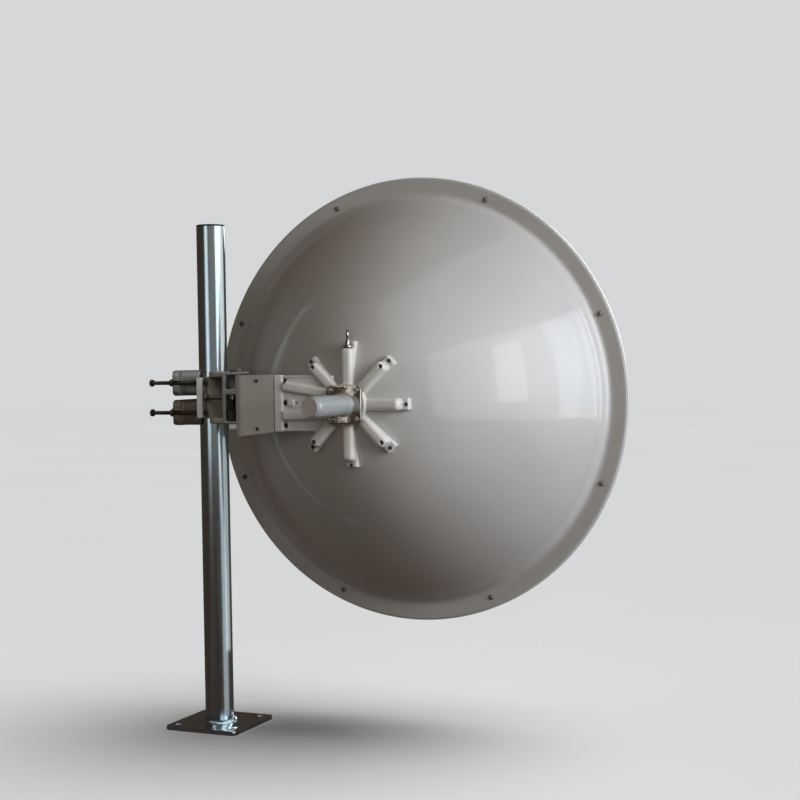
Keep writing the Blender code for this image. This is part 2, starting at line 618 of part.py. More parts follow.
def build_radome(frame):
    """Shallow plastic cover on the front of the flange."""
    top = -SHEET - GAP
    rim_low = top - RADOME_EDGE
    apex = rim_low - RADOME_RISE
    profile = []
    for i in range(RADOME_RINGS + 1):
        part = i / RADOME_RINGS
        profile.append((RADOME_INNER * part, apex + RADOME_SHEET + (RADOME_RISE - 0.001) * part ** 2))
    profile += [(RADOME_INNER + 0.001, top), (RADOME_RADIUS, top), (RADOME_RADIUS, rim_low)]
    for i in range(RADOME_RINGS, -1, -1):
        part = i / RADOME_RINGS
        profile.append((RADOME_SHOULDER * part, apex + (RADOME_RISE - 0.001) * part ** 2))
    turned("radome", profile, False, WHITE_PLASTIC, frame)


def build_spider(frame):
    """One casting of a hub, seven ribs with screw pads, and the broad bracket on the pole's side."""
    spider = rod("spider_casting", (0, 0, HUB_FOOT), (0, 0, HUB_TOP), HUB_RADIUS, LIGHT_PAINT, frame, 40)
    for angle in ARM_ANGLES:
        turn = Matrix.Rotation(math.radians(angle), 4, "Z")
        half = ARM_WIDTH / 2
        rib = box("arm_rib", (ARM_START, -half, ARM_FOOT), (ARM_END, half, ARM_CREST), None, frame)
        round_edges(rib, ARM_ROUND, 3)
        half = PAD_WIDTH / 2
        pad = box("arm_pad", (PAD_START, -half, ARM_FOOT - 0.005), (PAD_END, half, PAD_TOP), None, frame)
        round_edges(pad, 0.002, 1)
        for piece in (rib, pad):
            piece.matrix_basis = turn @ Matrix.Translation(piece.location)
        join(spider, rib, pad)
    web = box("west_plate", (WEST_LEFT + 0.004, WEST_LOW + 0.001, WEST_UNDER + 0.001),
              (-0.030, WEST_HIGH - 0.001, WEST_TOP), None, frame)
    strip = box("west_strip", (WEST_LEFT, WEST_LOW, WEST_UNDER), (WEST_STRIP_RIGHT, WEST_HIGH, WEST_FRONT),
                None, frame)
    join(spider, web, strip)
    x, height = RIDGE_MIDDLE
    for y_wide, y_near in RIDGE_ENDS:
        reach = Vector((math.hypot(RIDGE_LENGTH, y_wide - y_near), RIDGE_WIDTH, RIDGE_HEIGHT)) / 2
        ridge = box("west_ridge", -reach, reach, None, frame)
        round_edges(ridge, RIDGE_HEIGHT * 0.375, 3)
        ridge.location = (x, (y_wide + y_near) / 2, height)
        ridge.rotation_euler = (0, 0, math.atan2(y_near - y_wide, RIDGE_LENGTH))
        join(spider, ridge)
    for angle in BORED_ANGLES:
        x = BORE_AT * math.cos(math.radians(angle))
        y = BORE_AT * math.sin(math.radians(angle))
        cut(spider, rod("arm_bore", (x, y, BORE_FLOOR), (x, y, 0.33), BORE_RADIUS, None, frame, 16))
    # The casting's underside follows the bowl
    count = 10
    radii = [SEAT_REACH * i / count for i in range(count + 1)]
    seat = [(radius, bowl_height(radius) + SEAT_LIFT) for radius in radii]
    seat += [(SEAT_REACH, SEAT_REACH / 2), (0, SEAT_REACH / 2)]
    cut(spider, turned("bowl_seat", seat, False, None, frame))


def build_feed(frame):
    half = FEED_PLATE_HALF
    low = HUB_TOP + GAP
    high = low + FEED_PLATE_THICK
    box("feed_plate", (-half, -half, low), (half, half, high), BRIGHT_STEEL, frame, 0.010)
    foot = high + GAP
    tube = rod("feed_tube", (0, 0, foot), (0, 0, FEED_TUBE_TOP), FEED_TUBE_RADIUS, TUBE_PAINT, frame, 40)
    cut(tube, rod("tube_inside", (0, 0, foot - 0.01), (0, 0, FEED_TUBE_TOP + 0.01),
                  FEED_TUBE_RADIUS - FEED_TUBE_WALL, None, frame, 40))
    shade_round(tube)
    cap_low = FEED_TUBE_TOP + GAP
    cap_end = cap_low + FEED_CAP_LENGTH
    profile = [(0, cap_end), (FEED_CAP_END_RADIUS, cap_end), (FEED_TUBE_RADIUS, cap_low), (0, cap_low)]
    turned("feed_tube_cap", profile, False, LIGHT_PAINT, frame)


def build_lifting_eye(frame):
    """Eye bolt at the end of the upper arm. Its loop is turned a little, with its edge to the camera."""
    seat = ARM_END + GAP
    collar_end = seat + EYE_COLLAR_THICK
    neck_end = EYE_CENTRE - EYE_RING
    bpy.ops.mesh.primitive_torus_add(major_segments=28, minor_segments=10, major_radius=EYE_RING,
                                     minor_radius=EYE_WIRE)
    eye = bpy.context.object
    eye.name = "lifting_eye"
    for collection in list(eye.users_collection):
        collection.objects.unlink(eye)
    eye.data.transform(Matrix.Rotation(math.radians(90) + EYE_TURN, 4, "Y"))
    eye.parent = frame
    eye.location = (0, EYE_CENTRE, EYE_HEIGHT)
    give_finish(eye, BRIGHT_STEEL)
    join(eye,
         rod("eye_collar", (0, seat, EYE_HEIGHT), (0, collar_end, EYE_HEIGHT), EYE_COLLAR, None, frame, 20,
             "y"),
         rod("eye_neck", (0, seat + 0.001, EYE_HEIGHT), (0, neck_end, EYE_HEIGHT), EYE_NECK, None, frame, 16,
             "y"))
    shade_round(eye, 50)


def build():
    build_mast()
    azimuth = axis_empty("azimuth_axis", CLAMP_CENTRE)
    build_clamp(azimuth)
    elevation = axis_empty("elevation_axis", (0, 0, 0), azimuth)
    build_swivel(elevation)
    build_arm_plate(elevation)
    frame = axis_empty("rim_centre", DISH_CENTRE - CLAMP_CENTRE, elevation, (math.radians(90), 0, 0))
    build_reflector(frame)
    build_radome(frame)
    build_spider(frame)
    build_feed(frame)
    build_lifting_eye(frame)


clear_scene()
PARTS = new_collection("microwave_dish_antenna")
TOOLS = new_collection("cutters")
build()
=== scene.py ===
"""Microwave dish antenna on a steel pole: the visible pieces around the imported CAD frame.

Metres, +Z up. The dish looks along +Y, so its convex back faces -Y, and the pole stands on its -X side.
Pieces of the dish are modelled about the middle of the rim, with X right, Y up and Z to the rear, and
pieces of the clamp about the middle of the clamp on the pole's axis. Both are then put in place.
"""
import math

import bmesh
import bpy
from mathutils import Matrix, Vector


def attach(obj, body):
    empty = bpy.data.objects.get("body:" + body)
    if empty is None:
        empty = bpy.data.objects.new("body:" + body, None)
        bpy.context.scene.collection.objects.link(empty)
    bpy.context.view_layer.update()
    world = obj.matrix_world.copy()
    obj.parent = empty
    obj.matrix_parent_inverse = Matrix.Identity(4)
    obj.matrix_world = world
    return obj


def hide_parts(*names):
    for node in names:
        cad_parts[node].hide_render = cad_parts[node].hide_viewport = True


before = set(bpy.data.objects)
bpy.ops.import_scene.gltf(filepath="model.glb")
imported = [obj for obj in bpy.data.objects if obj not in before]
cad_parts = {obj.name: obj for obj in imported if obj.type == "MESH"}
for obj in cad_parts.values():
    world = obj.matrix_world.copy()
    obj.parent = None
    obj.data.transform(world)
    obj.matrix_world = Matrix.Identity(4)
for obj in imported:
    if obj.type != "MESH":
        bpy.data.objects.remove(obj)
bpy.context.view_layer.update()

bl_info = {
    "name": "Microwave Dish Antenna",
    "version": (1, 0, 0),
    "blender": (4, 5, 0),
    "location": "View3D > Sidebar > Antenna",
    "description": "Models the dish antenna, its pole mount and a plain stage around the CAD frame",
    "category": "Add Mesh",
}

RIM_CENTRE = Vector((0.349, 0.203, 0.650))
CLAMP_CENTRE = Vector((0.0, 0.0, 0.6625))
AT_RIM = Matrix.Translation(RIM_CENTRE) @ Matrix.Rotation(math.radians(90), 4, "X")
AT_CLAMP = Matrix.Translation(CLAMP_CENTRE)
TO_RIGHT = Matrix.Rotation(math.radians(90), 4, "Y")
TO_LEFT = Matrix.Rotation(math.radians(-90), 4, "Y")
DOWN = Matrix.Rotation(math.pi, 4, "X")
ALONG_Y = Matrix.Rotation(math.radians(-90), 4, "X")
GAP = 0.0003
MERGE = 0.000002
M8_RADIUS = 0.0040
M8_HOLE = 0.0043
M8_HEAD_RADIUS = 0.0075
M8_HEAD_THICK = 0.0053
M8_NUT_THICK = 0.0065
M8_WASHER_RADIUS = 0.0090
M8_WASHER_THICK = 0.0016
M12_RADIUS = 0.0060
M12_PITCH = 0.00175
M12_HOLE = 0.0063
M12_HEAD_RADIUS = 0.0105
M12_HEAD_THICK = 0.0064


# Working the mesh

def put_down():
    """Leave edit mode and deselect everything."""
    if bpy.context.object and bpy.context.object.mode != "OBJECT":
        bpy.ops.object.mode_set(mode="OBJECT")
    bpy.ops.object.select_all(action="DESELECT")


def take(obj):
    """Make a piece the only one selected, and the active one."""
    put_down()
    obj.select_set(True)
    bpy.context.view_layer.objects.active = obj


def open_up(obj, kind="VERT"):
    """Start edit mode on a piece with all of it selected."""
    take(obj)
    bpy.ops.object.mode_set(mode="EDIT")
    bpy.ops.mesh.select_mode(type=kind)
    bpy.ops.mesh.select_all(action="SELECT")


def pick(kind, test):
    """In edit mode, select the faces, edges or corners that pass a test."""
    bpy.ops.mesh.select_mode(type=kind)
    bpy.ops.mesh.select_all(action="DESELECT")
    mesh = bmesh.from_edit_mesh(bpy.context.object.data)
    for part in {"VERT": mesh.verts, "EDGE": mesh.edges, "FACE": mesh.faces}[kind]:
        if test(part):
            part.select_set(True)
    mesh.select_flush_mode()
    bmesh.update_edit_mesh(bpy.context.object.data)


def runs_along(edge, index):
    """True for an edge that lies along the axis with this number."""
    run = edge.verts[0].co - edge.verts[1].co
    return abs(run[index]) > 0.99 * run.length


def close_up():
    """Merge doubles, turn the faces outwards and leave edit mode."""
    bpy.ops.mesh.select_mode(type="VERT")
    bpy.ops.mesh.select_all(action="SELECT")
    bpy.ops.mesh.remove_doubles(threshold=MERGE)
    bpy.ops.mesh.normals_make_consistent(inside=False)
    bpy.ops.object.mode_set(mode="OBJECT")


def named(name):
    """Name the active object and its data."""
    made = bpy.context.object
    made.name = made.data.name = name
    return made


def modify(obj, kind, **settings):
    """Add a modifier to a piece and apply it."""
    take(obj)
    modifier = obj.modifiers.new(kind.title(), kind)
    for key, value in settings.items():
        setattr(modifier, key, value)
    bpy.ops.object.modifier_apply(modifier=modifier.name)
    return obj


def soften(obj, width, segments=2, angle=35):
    """Bevel the edges of a piece that are sharper than an angle in degrees."""
    return modify(obj, "BEVEL", width=width, segments=segments, limit_method="ANGLE",
                  angle_limit=math.radians(angle), miter_outer="MITER_ARC")


def combine(obj, operation, *tools):
    """Join tools to a piece, or cut them from it, and take the tools away."""
    for tool in tools:
        modify(obj, "BOOLEAN", object=tool, operation=operation, solver="EXACT")
        bpy.data.objects.remove(tool, do_unlink=True)
    return obj


def cut(obj, *tools):
    return combine(obj, "DIFFERENCE", *tools)


def weld(obj, *tools):
    return combine(obj, "UNION", *tools)


def gather(name, pieces):
    """Join several closed shells into one piece, without merging them."""
    put_down()
    for piece in pieces:
        piece.select_set(True)
    bpy.context.view_layer.objects.active = pieces[0]
    bpy.ops.object.join()
    return named(name)


def cast(name, shapes, voxel=0.0010, passes=4):
    """Melt rough shapes into one casting with soft inner corners."""
    made = gather(name, shapes)
    modify(made, "REMESH", mode="VOXEL", voxel_size=voxel, adaptivity=0.0)
    return modify(made, "SMOOTH", factor=0.5, iterations=passes)


def set_at(obj, matrix):
    """Move a piece by a matrix and apply its place."""
    take(obj)
    obj.matrix_world = matrix @ obj.matrix_world
    bpy.ops.object.transform_apply(location=True, rotation=True, scale=True)
    return obj


def copy_of(obj, name, matrix):
    """Copy a piece with its own mesh and move the copy by a matrix."""
    take(obj)
    bpy.ops.object.duplicate(linked=False)
    return set_at(named(name), matrix)


def block(name, low, high):
    """A plain block between two corners, which other shapes are cut or built up from."""
    low, high = Vector(low), Vector(high)
    put_down()
    bpy.ops.mesh.primitive_cube_add(size=1.0, location=(low + high) / 2, scale=high - low)
    made = named(name)
    bpy.ops.object.transform_apply(location=True, rotation=True, scale=True)
    return made


def rounded_block(name, low, high, radius, segments=3, axis=None):
    """A block with its edges rounded, all of them or only those along one axis."""
    made = block(name, low, high)
    open_up(made, "EDGE")
    if axis is not None:
        pick("EDGE", lambda edge: runs_along(edge, axis))
    bpy.ops.mesh.bevel(offset=radius, segments=segments, profile=0.5, affect="EDGES")
    close_up()
    return made


def drum(name, start, end, radius, sides=32, axis=2):
    """A plain cylinder between two points on a line along one axis."""
    start, end = Vector(start), Vector(end)
    put_down()
    turn = ((0, math.radians(90), 0), (math.radians(-90), 0, 0), (0, 0, 0))[axis]
    bpy.ops.mesh.primitive_cylinder_add(vertices=sides, radius=radius, depth=(end - start).length,
                                        location=(start + end) / 2, rotation=turn)
    made = named(name)
    bpy.ops.object.transform_apply(location=True, rotation=True, scale=True)
    return made


def draw(name, points, closed):
    """Draw a line of edges by extruding one corner from point to point. Edit mode stays on."""
    points = [Vector(point) for point in points]
    put_down()
    bpy.ops.mesh.primitive_plane_add(size=0.01)
    made = named(name)
    open_up(made)
    bpy.ops.mesh.merge(type="CENTER")
    bpy.ops.transform.translate(value=points[0])
    for before, after in zip(points, points[1:]):
        bpy.ops.mesh.extrude_vertices_move(TRANSFORM_OT_translate={"value": after - before})
    if closed:
        ends = (points[0], points[-1])
        pick("VERT", lambda corner: min((corner.co - end).length for end in ends) < MERGE)
        bpy.ops.mesh.edge_face_add()
    return made


def lathe(name, profile, steps, closed=False):
    """Turn a profile of radius and height points about Z."""
    made = draw(name, [(radius, 0, height) for radius, height in profile], closed)
    bpy.ops.mesh.select_all(action="SELECT")
    bpy.ops.mesh.spin(steps=steps, angle=math.tau, center=(0, 0, 0), axis=(0, 0, 1))
    close_up()
    return made


def slab(name, outline, low, high):
    """A flat outline in X and Y made solid from height low to height high."""
    made = draw(name, [(x, y, low) for x, y in outline], True)
    bpy.ops.mesh.select_all(action="SELECT")
    bpy.ops.mesh.edge_face_add()
    bpy.ops.mesh.extrude_region_move(TRANSFORM_OT_translate={"value": (0, 0, high - low)})
    close_up()
    return made


def bend(centre, radius, start, end, steps):
    """Points on an arc, with the angles in degrees."""
    angles = [math.radians(start + (end - start) * i / steps) for i in range(steps + 1)]
    return [(centre[0] + radius * math.cos(a), centre[1] + radius * math.sin(a)) for a in angles]


def fit_up(obj, body, finish, nodes=(), smooth=35):
    """Give a piece its finish, smooth its faces, and let it ride on a body in place of CAD nodes."""
    take(obj)
    bpy.ops.object.transform_apply(location=True, rotation=True, scale=True)
    obj.data.materials.clear()
    obj.data.materials.append(FINISHES[finish]())
    for face in obj.data.polygons:
        face.material_index = 0
    bpy.ops.object.shade_smooth_by_angle(angle=math.radians(smooth))
    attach(obj, body)
    if nodes:
        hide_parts(*nodes)
    put_down()
    return obj


# Fasteners

def hexagon(name, corner_radius, thick, bottom_too=False):
    """A hexagon from height 0 up, with the turned chamfer of a real head on its top."""
    made = drum(name, (0, 0, 0), (0, 0, thick), corner_radius, 6)
    flat = corner_radius * math.cos(math.pi / 6)
    drop = (corner_radius - flat) * 1.15 * math.tan(math.radians(30))
    wide, narrow = corner_radius * 1.03, flat * 0.97
    profile = [(0, thick), (narrow, thick), (wide, thick - drop * 1.3)]
    if bottom_too:
        profile += [(wide, drop * 1.3), (narrow, 0), (0, 0)]
    else:
        profile += [(wide, -0.001), (0, -0.001)]
    return combine(made, "INTERSECT", lathe("turned_chamfer", profile, 48))


def threaded(name, radius, pitch, low, high, sides=20):
    """A threaded rod along Z from low to high: one tooth swept up a screw, then cut flat at its ends."""
    root = radius - 0.6 * pitch
    tooth = [(root, 0), (radius, 0.42 * pitch), (radius, 0.56 * pitch), (root, 0.98 * pitch),
             (root, pitch)]
    made = draw(name, [(r, 0, low - 2 * pitch + z) for r, z in tooth], False)
    bpy.ops.object.mode_set(mode="OBJECT")
    turns = int(math.ceil((high - low) / pitch)) + 4
    modify(made, "SCREW", axis="Z", angle=math.tau, screw_offset=pitch, iterations=turns, steps=sides,
           render_steps=sides)
    open_up(made)
    bpy.ops.mesh.remove_doubles(threshold=MERGE * 4)
    bpy.ops.mesh.select_all(action="SELECT")
    bpy.ops.mesh.bisect(plane_co=(0, 0, low), plane_no=(0, 0, 1), use_fill=True, clear_inner=True)
    bpy.ops.mesh.select_all(action="SELECT")
    bpy.ops.mesh.bisect(plane_co=(0, 0, high), plane_no=(0, 0, 1), use_fill=True, clear_outer=True)
    close_up()
    return made


def bolt(name, radius, pitch, head_radius, head_thick, length, plain=0.0):
    """A bolt with its head above height 0 and its shank below, threaded from plain to its tip."""
    parts = [hexagon(name, head_radius, head_thick)]
    face = head_radius * 0.84
    collar = [(0, 0.0002), (face, 0.0002), (face, -0.0001), (radius, -0.0001)]
    parts.append(lathe("under_head", collar + [(radius, -plain - 0.001), (0, -plain - 0.001)], 32))
    parts.append(threaded("shank_thread", radius, pitch, -length + 0.0008, -plain))
    tip = [(0, -length + 0.001), (radius * 0.86, -length + 0.001), (radius * 0.7, -length), (0, -length)]
    parts.append(lathe("shank_tip", tip, 24))
    return gather(name, parts)


def nut(name, radius, corner_radius, thick):
    """A hexagon nut on height 0, chamfered on both faces and bored for its bolt."""
    made = hexagon(name, corner_radius, thick, bottom_too=True)
    cut(made, drum("nut_bore", (0, 0, -0.001), (0, 0, thick + 0.001), radius + 0.00015, 24))
    return soften(made, 0.00035, 1, 40)


def washer(name, radius, bore, thick):
    """A flat washer on height 0 with its edges broken."""
    edge = 0.0003
    profile = [(bore, edge), (bore + edge, 0), (radius - edge, 0), (radius, edge), (radius, thick - edge),
               (radius - edge, thick), (bore + edge, thick), (bore, thick - edge)]
    return lathe(name, profile, 40, closed=True)


def button_screw(name, head_radius, head_high, socket, washer_radius=0.0, washer_thick=0.0):
    """A domed screw head on height 0 with a hexagon socket, on a washer where one is given."""
    low, edge_angle, rings = washer_thick, 78, 7
    widest = math.radians(edge_angle)
    dome = [(0, low + head_high)]
    for i in range(1, rings + 1):
        angle = math.radians(edge_angle * i / rings)
        rise = head_high * 0.75 * (math.cos(angle) - math.cos(widest)) / (1 - math.cos(widest))
        dome.append((head_radius * math.sin(angle) / math.sin(widest), low + head_high * 0.25 + rise))
    dome += [(head_radius, low - 0.0002), (0, low - 0.0002)]
    made = lathe(name, dome, 32)
    cut(made, drum("socket", (0, 0, low + head_high * 0.35), (0, 0, low + head_high + 0.01), socket, 6))
    soften(made, 0.00015, 1, 40)
    if washer_radius:
        seat = washer("screw_washer", washer_radius, head_radius * 0.5, washer_thick)
        made = gather(name, [made, seat])
    return made


def cap_screw(name, head_radius, head_high, socket):
    """A tall cylinder head with a hexagon socket, on height 0."""
    edge = head_radius * 0.12
    profile = [(0, head_high), (head_radius - edge * 1.6, head_high),
               (head_radius - edge * 0.5, head_high - edge * 0.5), (head_radius, head_high - edge * 1.6),
               (head_radius, edge * 0.5), (head_radius - edge * 0.5, 0), (0, 0)]
    made = lathe(name, profile, 32)
    cut(made, drum("socket", (0, 0, head_high * 0.4), (0, 0, head_high + 0.01), socket, 6))
    return soften(made, 0.00015, 1, 40)


def m8_bolt(name, length, plain=0.0):
    """A bolt that fits the clamp's and the hinge's holes."""
    return bolt(name, M8_RADIUS, mount().thread_pitch, M8_HEAD_RADIUS, M8_HEAD_THICK, length, plain)


def washered_nut(name):
    """An M8 nut on its washer, standing on height 0."""
    raised = Matrix.Translation((0, 0, M8_WASHER_THICK))
    made = set_at(nut(name, M8_RADIUS, M8_HEAD_RADIUS, M8_NUT_THICK), raised)
    return gather(name, [made, washer("nut_washer", M8_WASHER_RADIUS, M8_RADIUS + 0.0002, M8_WASHER_THICK)])


# Finishes

MIX_FIRST, MIX_SECOND, MIX_RESULT = 6, 7, 2


class Finish:
    """A material with its shader and short calls for the nodes that shape its colour and relief."""

    def __init__(self, name, colour, roughness, metallic=0.0, coat=0.0, coat_roughness=0.1, specular=0.5):
        self.material = bpy.data.materials.new(name)
        self.material.use_nodes = True
        self.tree = self.material.node_tree
        self.shader = self.tree.nodes["Principled BSDF"]
        self.colour = (*colour, 1.0)
        self.material.diffuse_color = self.colour
        self.use(Base_Color=self.colour, Roughness=roughness, Metallic=metallic, Coat_Weight=coat,
                 Coat_Roughness=coat_roughness, Specular_IOR_Level=specular)
        self.coords = self.tree.nodes.new("ShaderNodeTexCoord").outputs["Object"]

    def node(self, kind, **sockets):
        """Add a node and set its sockets, which are named with _ for each space."""
        made = self.tree.nodes.new(kind)
        for name, value in sockets.items():
            self.feed(made.inputs[name.replace("_", " ")], value)
        return made

    def feed(self, socket, value):
        """Link another node's output to a socket, or set a plain value on it."""
        if isinstance(value, bpy.types.NodeSocket):
            self.tree.links.new(value, socket)
        else:
            socket.default_value = value

    def stretch(self, scale, turn=(0, 0, 0)):
        """The piece's own coordinates, scaled along each axis and turned."""
        made = self.node("ShaderNodeMapping", Vector=self.coords)
        made.inputs["Scale"].default_value = scale
        made.inputs["Rotation"].default_value = turn
        return made.outputs["Vector"]

    def noise(self, scale, detail=3.0, roughness=0.5, vector=None):
        """A cloudy value from 0 to 1 in the piece's own coordinates, or in others."""
        made = self.node("ShaderNodeTexNoise", Vector=vector or self.coords, Scale=scale, Detail=detail,
                         Roughness=roughness)
        return made.outputs["Fac"]

    def cells(self, scale, vector):
        """A colour for each cell of a pattern of crystals."""
        return self.node("ShaderNodeTexVoronoi", Vector=vector, Scale=scale).outputs["Color"]

    def spread(self, value, low, high, out_low=0.0, out_high=1.0):
        """Stretch the part of a value between low and high over another range."""
        made = self.tree.nodes.new("ShaderNodeMapRange")
        for place, number in zip(range(5), (value, low, high, out_low, out_high)):
            self.feed(made.inputs[place], number)
        return made.outputs["Result"]

    def mix(self, part, one, two, blend="MIX"):
        """Colour one, with this part of colour two mixed in."""
        made = self.tree.nodes.new("ShaderNodeMix")
        made.data_type = "RGBA"
        made.blend_type = blend
        self.feed(made.inputs["Factor"], part)
        self.feed(made.inputs[MIX_FIRST], one)
        self.feed(made.inputs[MIX_SECOND], two)
        return made.outputs[MIX_RESULT]

    def shade(self, factor):
        """The finish's own colour made lighter or darker."""
        return tuple(min(1.0, c * factor) for c in self.colour[:3]) + (1.0,)

    def relief(self, height, strength, distance, under=None):
        """A bump from a height, laid over another bump where one is given."""
        made = self.tree.nodes.new("ShaderNodeBump")
        made.inputs["Strength"].default_value = strength
        made.inputs["Distance"].default_value = distance
        self.feed(made.inputs["Height"], height)
        if under is not None:
            self.feed(made.inputs["Normal"], under)
        return made.outputs["Normal"]

    def painted_shade_mask(self, distance):
        """Near 0 in corners and recesses, and 1 on open faces: the mask for painted shade."""
        made = self.tree.nodes.new("ShaderNodeAmbientOcclusion")
        made.samples = 4
        made.inputs["Distance"].default_value = distance
        return made.outputs["AO"]

    def use(self, **sockets):
        """Feed the shader's sockets and give back the material."""
        for name, value in sockets.items():
            self.feed(self.shader.inputs[name.replace("_", " ")], value)
        return self.material


def dish_paint():
    """Gloss powder coat on the spun sheet, with slight orange peel and faint dust in patches."""
    skin = Finish("dish_paint", look("dish_colour"), 0.38, coat=0.65, coat_roughness=0.055)
    cloud = skin.noise(5.0, 3.0, 0.55)
    dust = skin.noise(38.0, 4.0, 0.6, skin.stretch((1.0, 1.0, 0.35)))
    colour = skin.mix(skin.spread(cloud, 0.3, 0.7), skin.shade(0.965), skin.shade(1.03))
    colour = skin.mix(skin.spread(dust, 0.55, 0.8, 0.0, 0.3), colour, skin.shade(0.9))
    fine = skin.noise(260.0, 2.0, 0.4)
    peel = skin.relief(fine, 0.10, 0.0004)
    spun = skin.relief(skin.noise(14.0, 2.0, 0.4), 0.12, 0.0012, peel)
    return skin.use(Base_Color=colour, Roughness=skin.spread(cloud, 0.3, 0.7, 0.34, 0.44), Normal=spun,
                    Coat_Normal=skin.relief(fine, 0.05, 0.0003))


def light_paint():
    """Thick gloss powder coat on castings and folded plates, with painted shade that greys its corners and
    recesses.
    """
    skin = Finish("light_paint", look("paint_colour"), 0.36, coat=0.35, coat_roughness=0.18)
    cloud = skin.noise(22.0, 4.0, 0.6)
    # Painted shade: corners and recesses are darkened to 0.62 of the paint's colour.
    corner = skin.spread(skin.painted_shade_mask(0.012), 0.35, 0.95)
    colour = skin.mix(skin.spread(cloud, 0.35, 0.7), skin.shade(0.93), skin.shade(1.04))
    colour = skin.mix(corner, skin.shade(0.62), colour)
    speck = skin.spread(skin.noise(420.0, 2.0, 0.5), 0.66, 0.74, 0.0, 0.5)
    colour = skin.mix(speck, colour, skin.shade(0.6))
    peel = skin.relief(skin.noise(340.0, 2.0, 0.5), 0.22, 0.0005)
    lumps = skin.relief(skin.noise(60.0, 3.0, 0.5), 0.15, 0.0010, peel)
    return skin.use(Base_Color=colour, Roughness=skin.spread(cloud, 0.35, 0.7, 0.32, 0.46), Normal=lumps)


def coated_casting(name, colour):
    """Sand-cast metal under a thin coat, with painted shade that turns its corners and recesses dark brown.
    """
    skin = Finish(name, colour, 0.50, metallic=0.35, coat=0.1, coat_roughness=0.3)
    cloud = skin.noise(34.0, 5.0, 0.62)
    # Painted shade: corners and recesses go dark brown.
    corner = skin.spread(skin.painted_shade_mask(0.010), 0.1, 0.8)
    colour = skin.mix(skin.spread(cloud, 0.35, 0.68), skin.shade(0.72), skin.shade(1.12))
    colour = skin.mix(corner, (0.085, 0.066, 0.045, 1.0), colour)
    sand = skin.relief(skin.noise(700.0, 3.0, 0.6), 0.35, 0.0004)
    lumps = skin.relief(skin.noise(120.0, 3.0, 0.55), 0.20, 0.0010, sand)
    return skin.use(Base_Color=colour, Roughness=skin.spread(cloud, 0.3, 0.7, 0.42, 0.62), Normal=lumps)


def grey_casting():
    """The coat of the swivel bracket and the upper jaw, which the upper hinge block also takes as painted
    shade.
    """
    return coated_casting("grey_casting", look("casting_colour"))


def brown_casting():
    """The casting coat on the mast bracket and the lower jaw, tinted a darker warm brown that paints in their
    shade and the warm reflection on the bracket's web.
    """
    return coated_casting("brown_casting", look("painted_shade_colour"))


def galvanised():
    """Hot-dip zinc with fine crystals and soft streaks that run down the tube."""
    skin = Finish("galvanised_steel", look("zinc_colour"), 0.18, metallic=1.0)
    crystal = skin.cells(130.0, skin.stretch((1.0, 1.0, 0.55)))
    streak = skin.noise(60.0, 4.0, 0.6, skin.stretch((1.0, 1.0, 0.035)))
    colour = skin.mix(skin.spread(streak, 0.3, 0.7), skin.shade(0.80), skin.shade(1.12))
    colour = skin.mix(0.10, colour, crystal, "OVERLAY")
    stain = skin.spread(skin.noise(9.0, 4.0, 0.6), 0.6, 0.8, 0.0, 0.35)
    colour = skin.mix(stain, colour, skin.shade(0.62))
    rough = skin.spread(streak, 0.3, 0.7, 0.12, 0.22)
    pits = skin.relief(skin.noise(480.0, 3.0, 0.5), 0.10, 0.0003)
    runs = skin.relief(skin.noise(50.0, 3.0, 0.5, skin.stretch((1.0, 1.0, 0.10))), 0.10, 0.0010, pits)
    return skin.use(Base_Color=colour, Roughness=rough, Normal=runs)


def dark_steel():
    """Weathered black oxide bolts with brown rust in patches, and painted shade that blackens their recesses.
    """
    skin = Finish("dark_steel", look("bolt_colour"), 0.42, metallic=0.85)
    patch = skin.noise(150.0, 5.0, 0.65)
    colour = skin.mix(skin.spread(patch, 0.5, 0.68), skin.colour, (0.115, 0.062, 0.035, 1.0))
    # Painted shade: recesses go near black.
    colour = skin.mix(skin.spread(skin.painted_shade_mask(0.004), 0.35, 0.9), (0.02, 0.016, 0.012, 1.0), colour)
    pits = skin.relief(skin.noise(900.0, 3.0, 0.6), 0.25, 0.0002)
    return skin.use(Base_Color=colour, Roughness=skin.spread(patch, 0.45, 0.7, 0.34, 0.62), Normal=pits)


def bright_zinc():
    """Zinc plate with a faint yellow passivation, dulled in patches, with painted shade dark in its recesses.
    """
    skin = Finish("bright_zinc", look("plating_colour"), 0.24, metallic=1.0)
    patch = skin.noise(170.0, 4.0, 0.6)
    colour = skin.mix(skin.spread(patch, 0.35, 0.7), skin.shade(0.78), skin.shade(1.08))
    colour = skin.mix(skin.spread(skin.noise(70.0), 0.5, 0.7, 0.0, 0.4), colour, (0.62, 0.50, 0.30, 1.0))
    # Painted shade: recesses go dark.
    colour = skin.mix(skin.spread(skin.painted_shade_mask(0.003), 0.3, 0.9), (0.08, 0.07, 0.055, 1.0), colour)
    pits = skin.relief(skin.noise(1200.0, 2.0, 0.5), 0.12, 0.0001)
    return skin.use(Base_Color=colour, Roughness=skin.spread(patch, 0.35, 0.7, 0.18, 0.34), Normal=pits)


def aged_zinc():
    """Old zinc plate gone brown and dull, with painted shade dark in its recesses."""
    skin = Finish("aged_zinc", look("aged_colour"), 0.36, metallic=0.9)
    patch = skin.noise(170.0, 4.0, 0.6)
    colour = skin.mix(skin.spread(patch, 0.35, 0.7), skin.shade(0.7), skin.shade(1.2))
    # Painted shade: recesses go dark.
    colour = skin.mix(skin.spread(skin.painted_shade_mask(0.003), 0.3, 0.9), (0.05, 0.04, 0.03, 1.0), colour)
    pits = skin.relief(skin.noise(1200.0, 2.0, 0.5), 0.15, 0.0001)
    return skin.use(Base_Color=colour, Roughness=skin.spread(patch, 0.35, 0.7, 0.28, 0.48), Normal=pits)


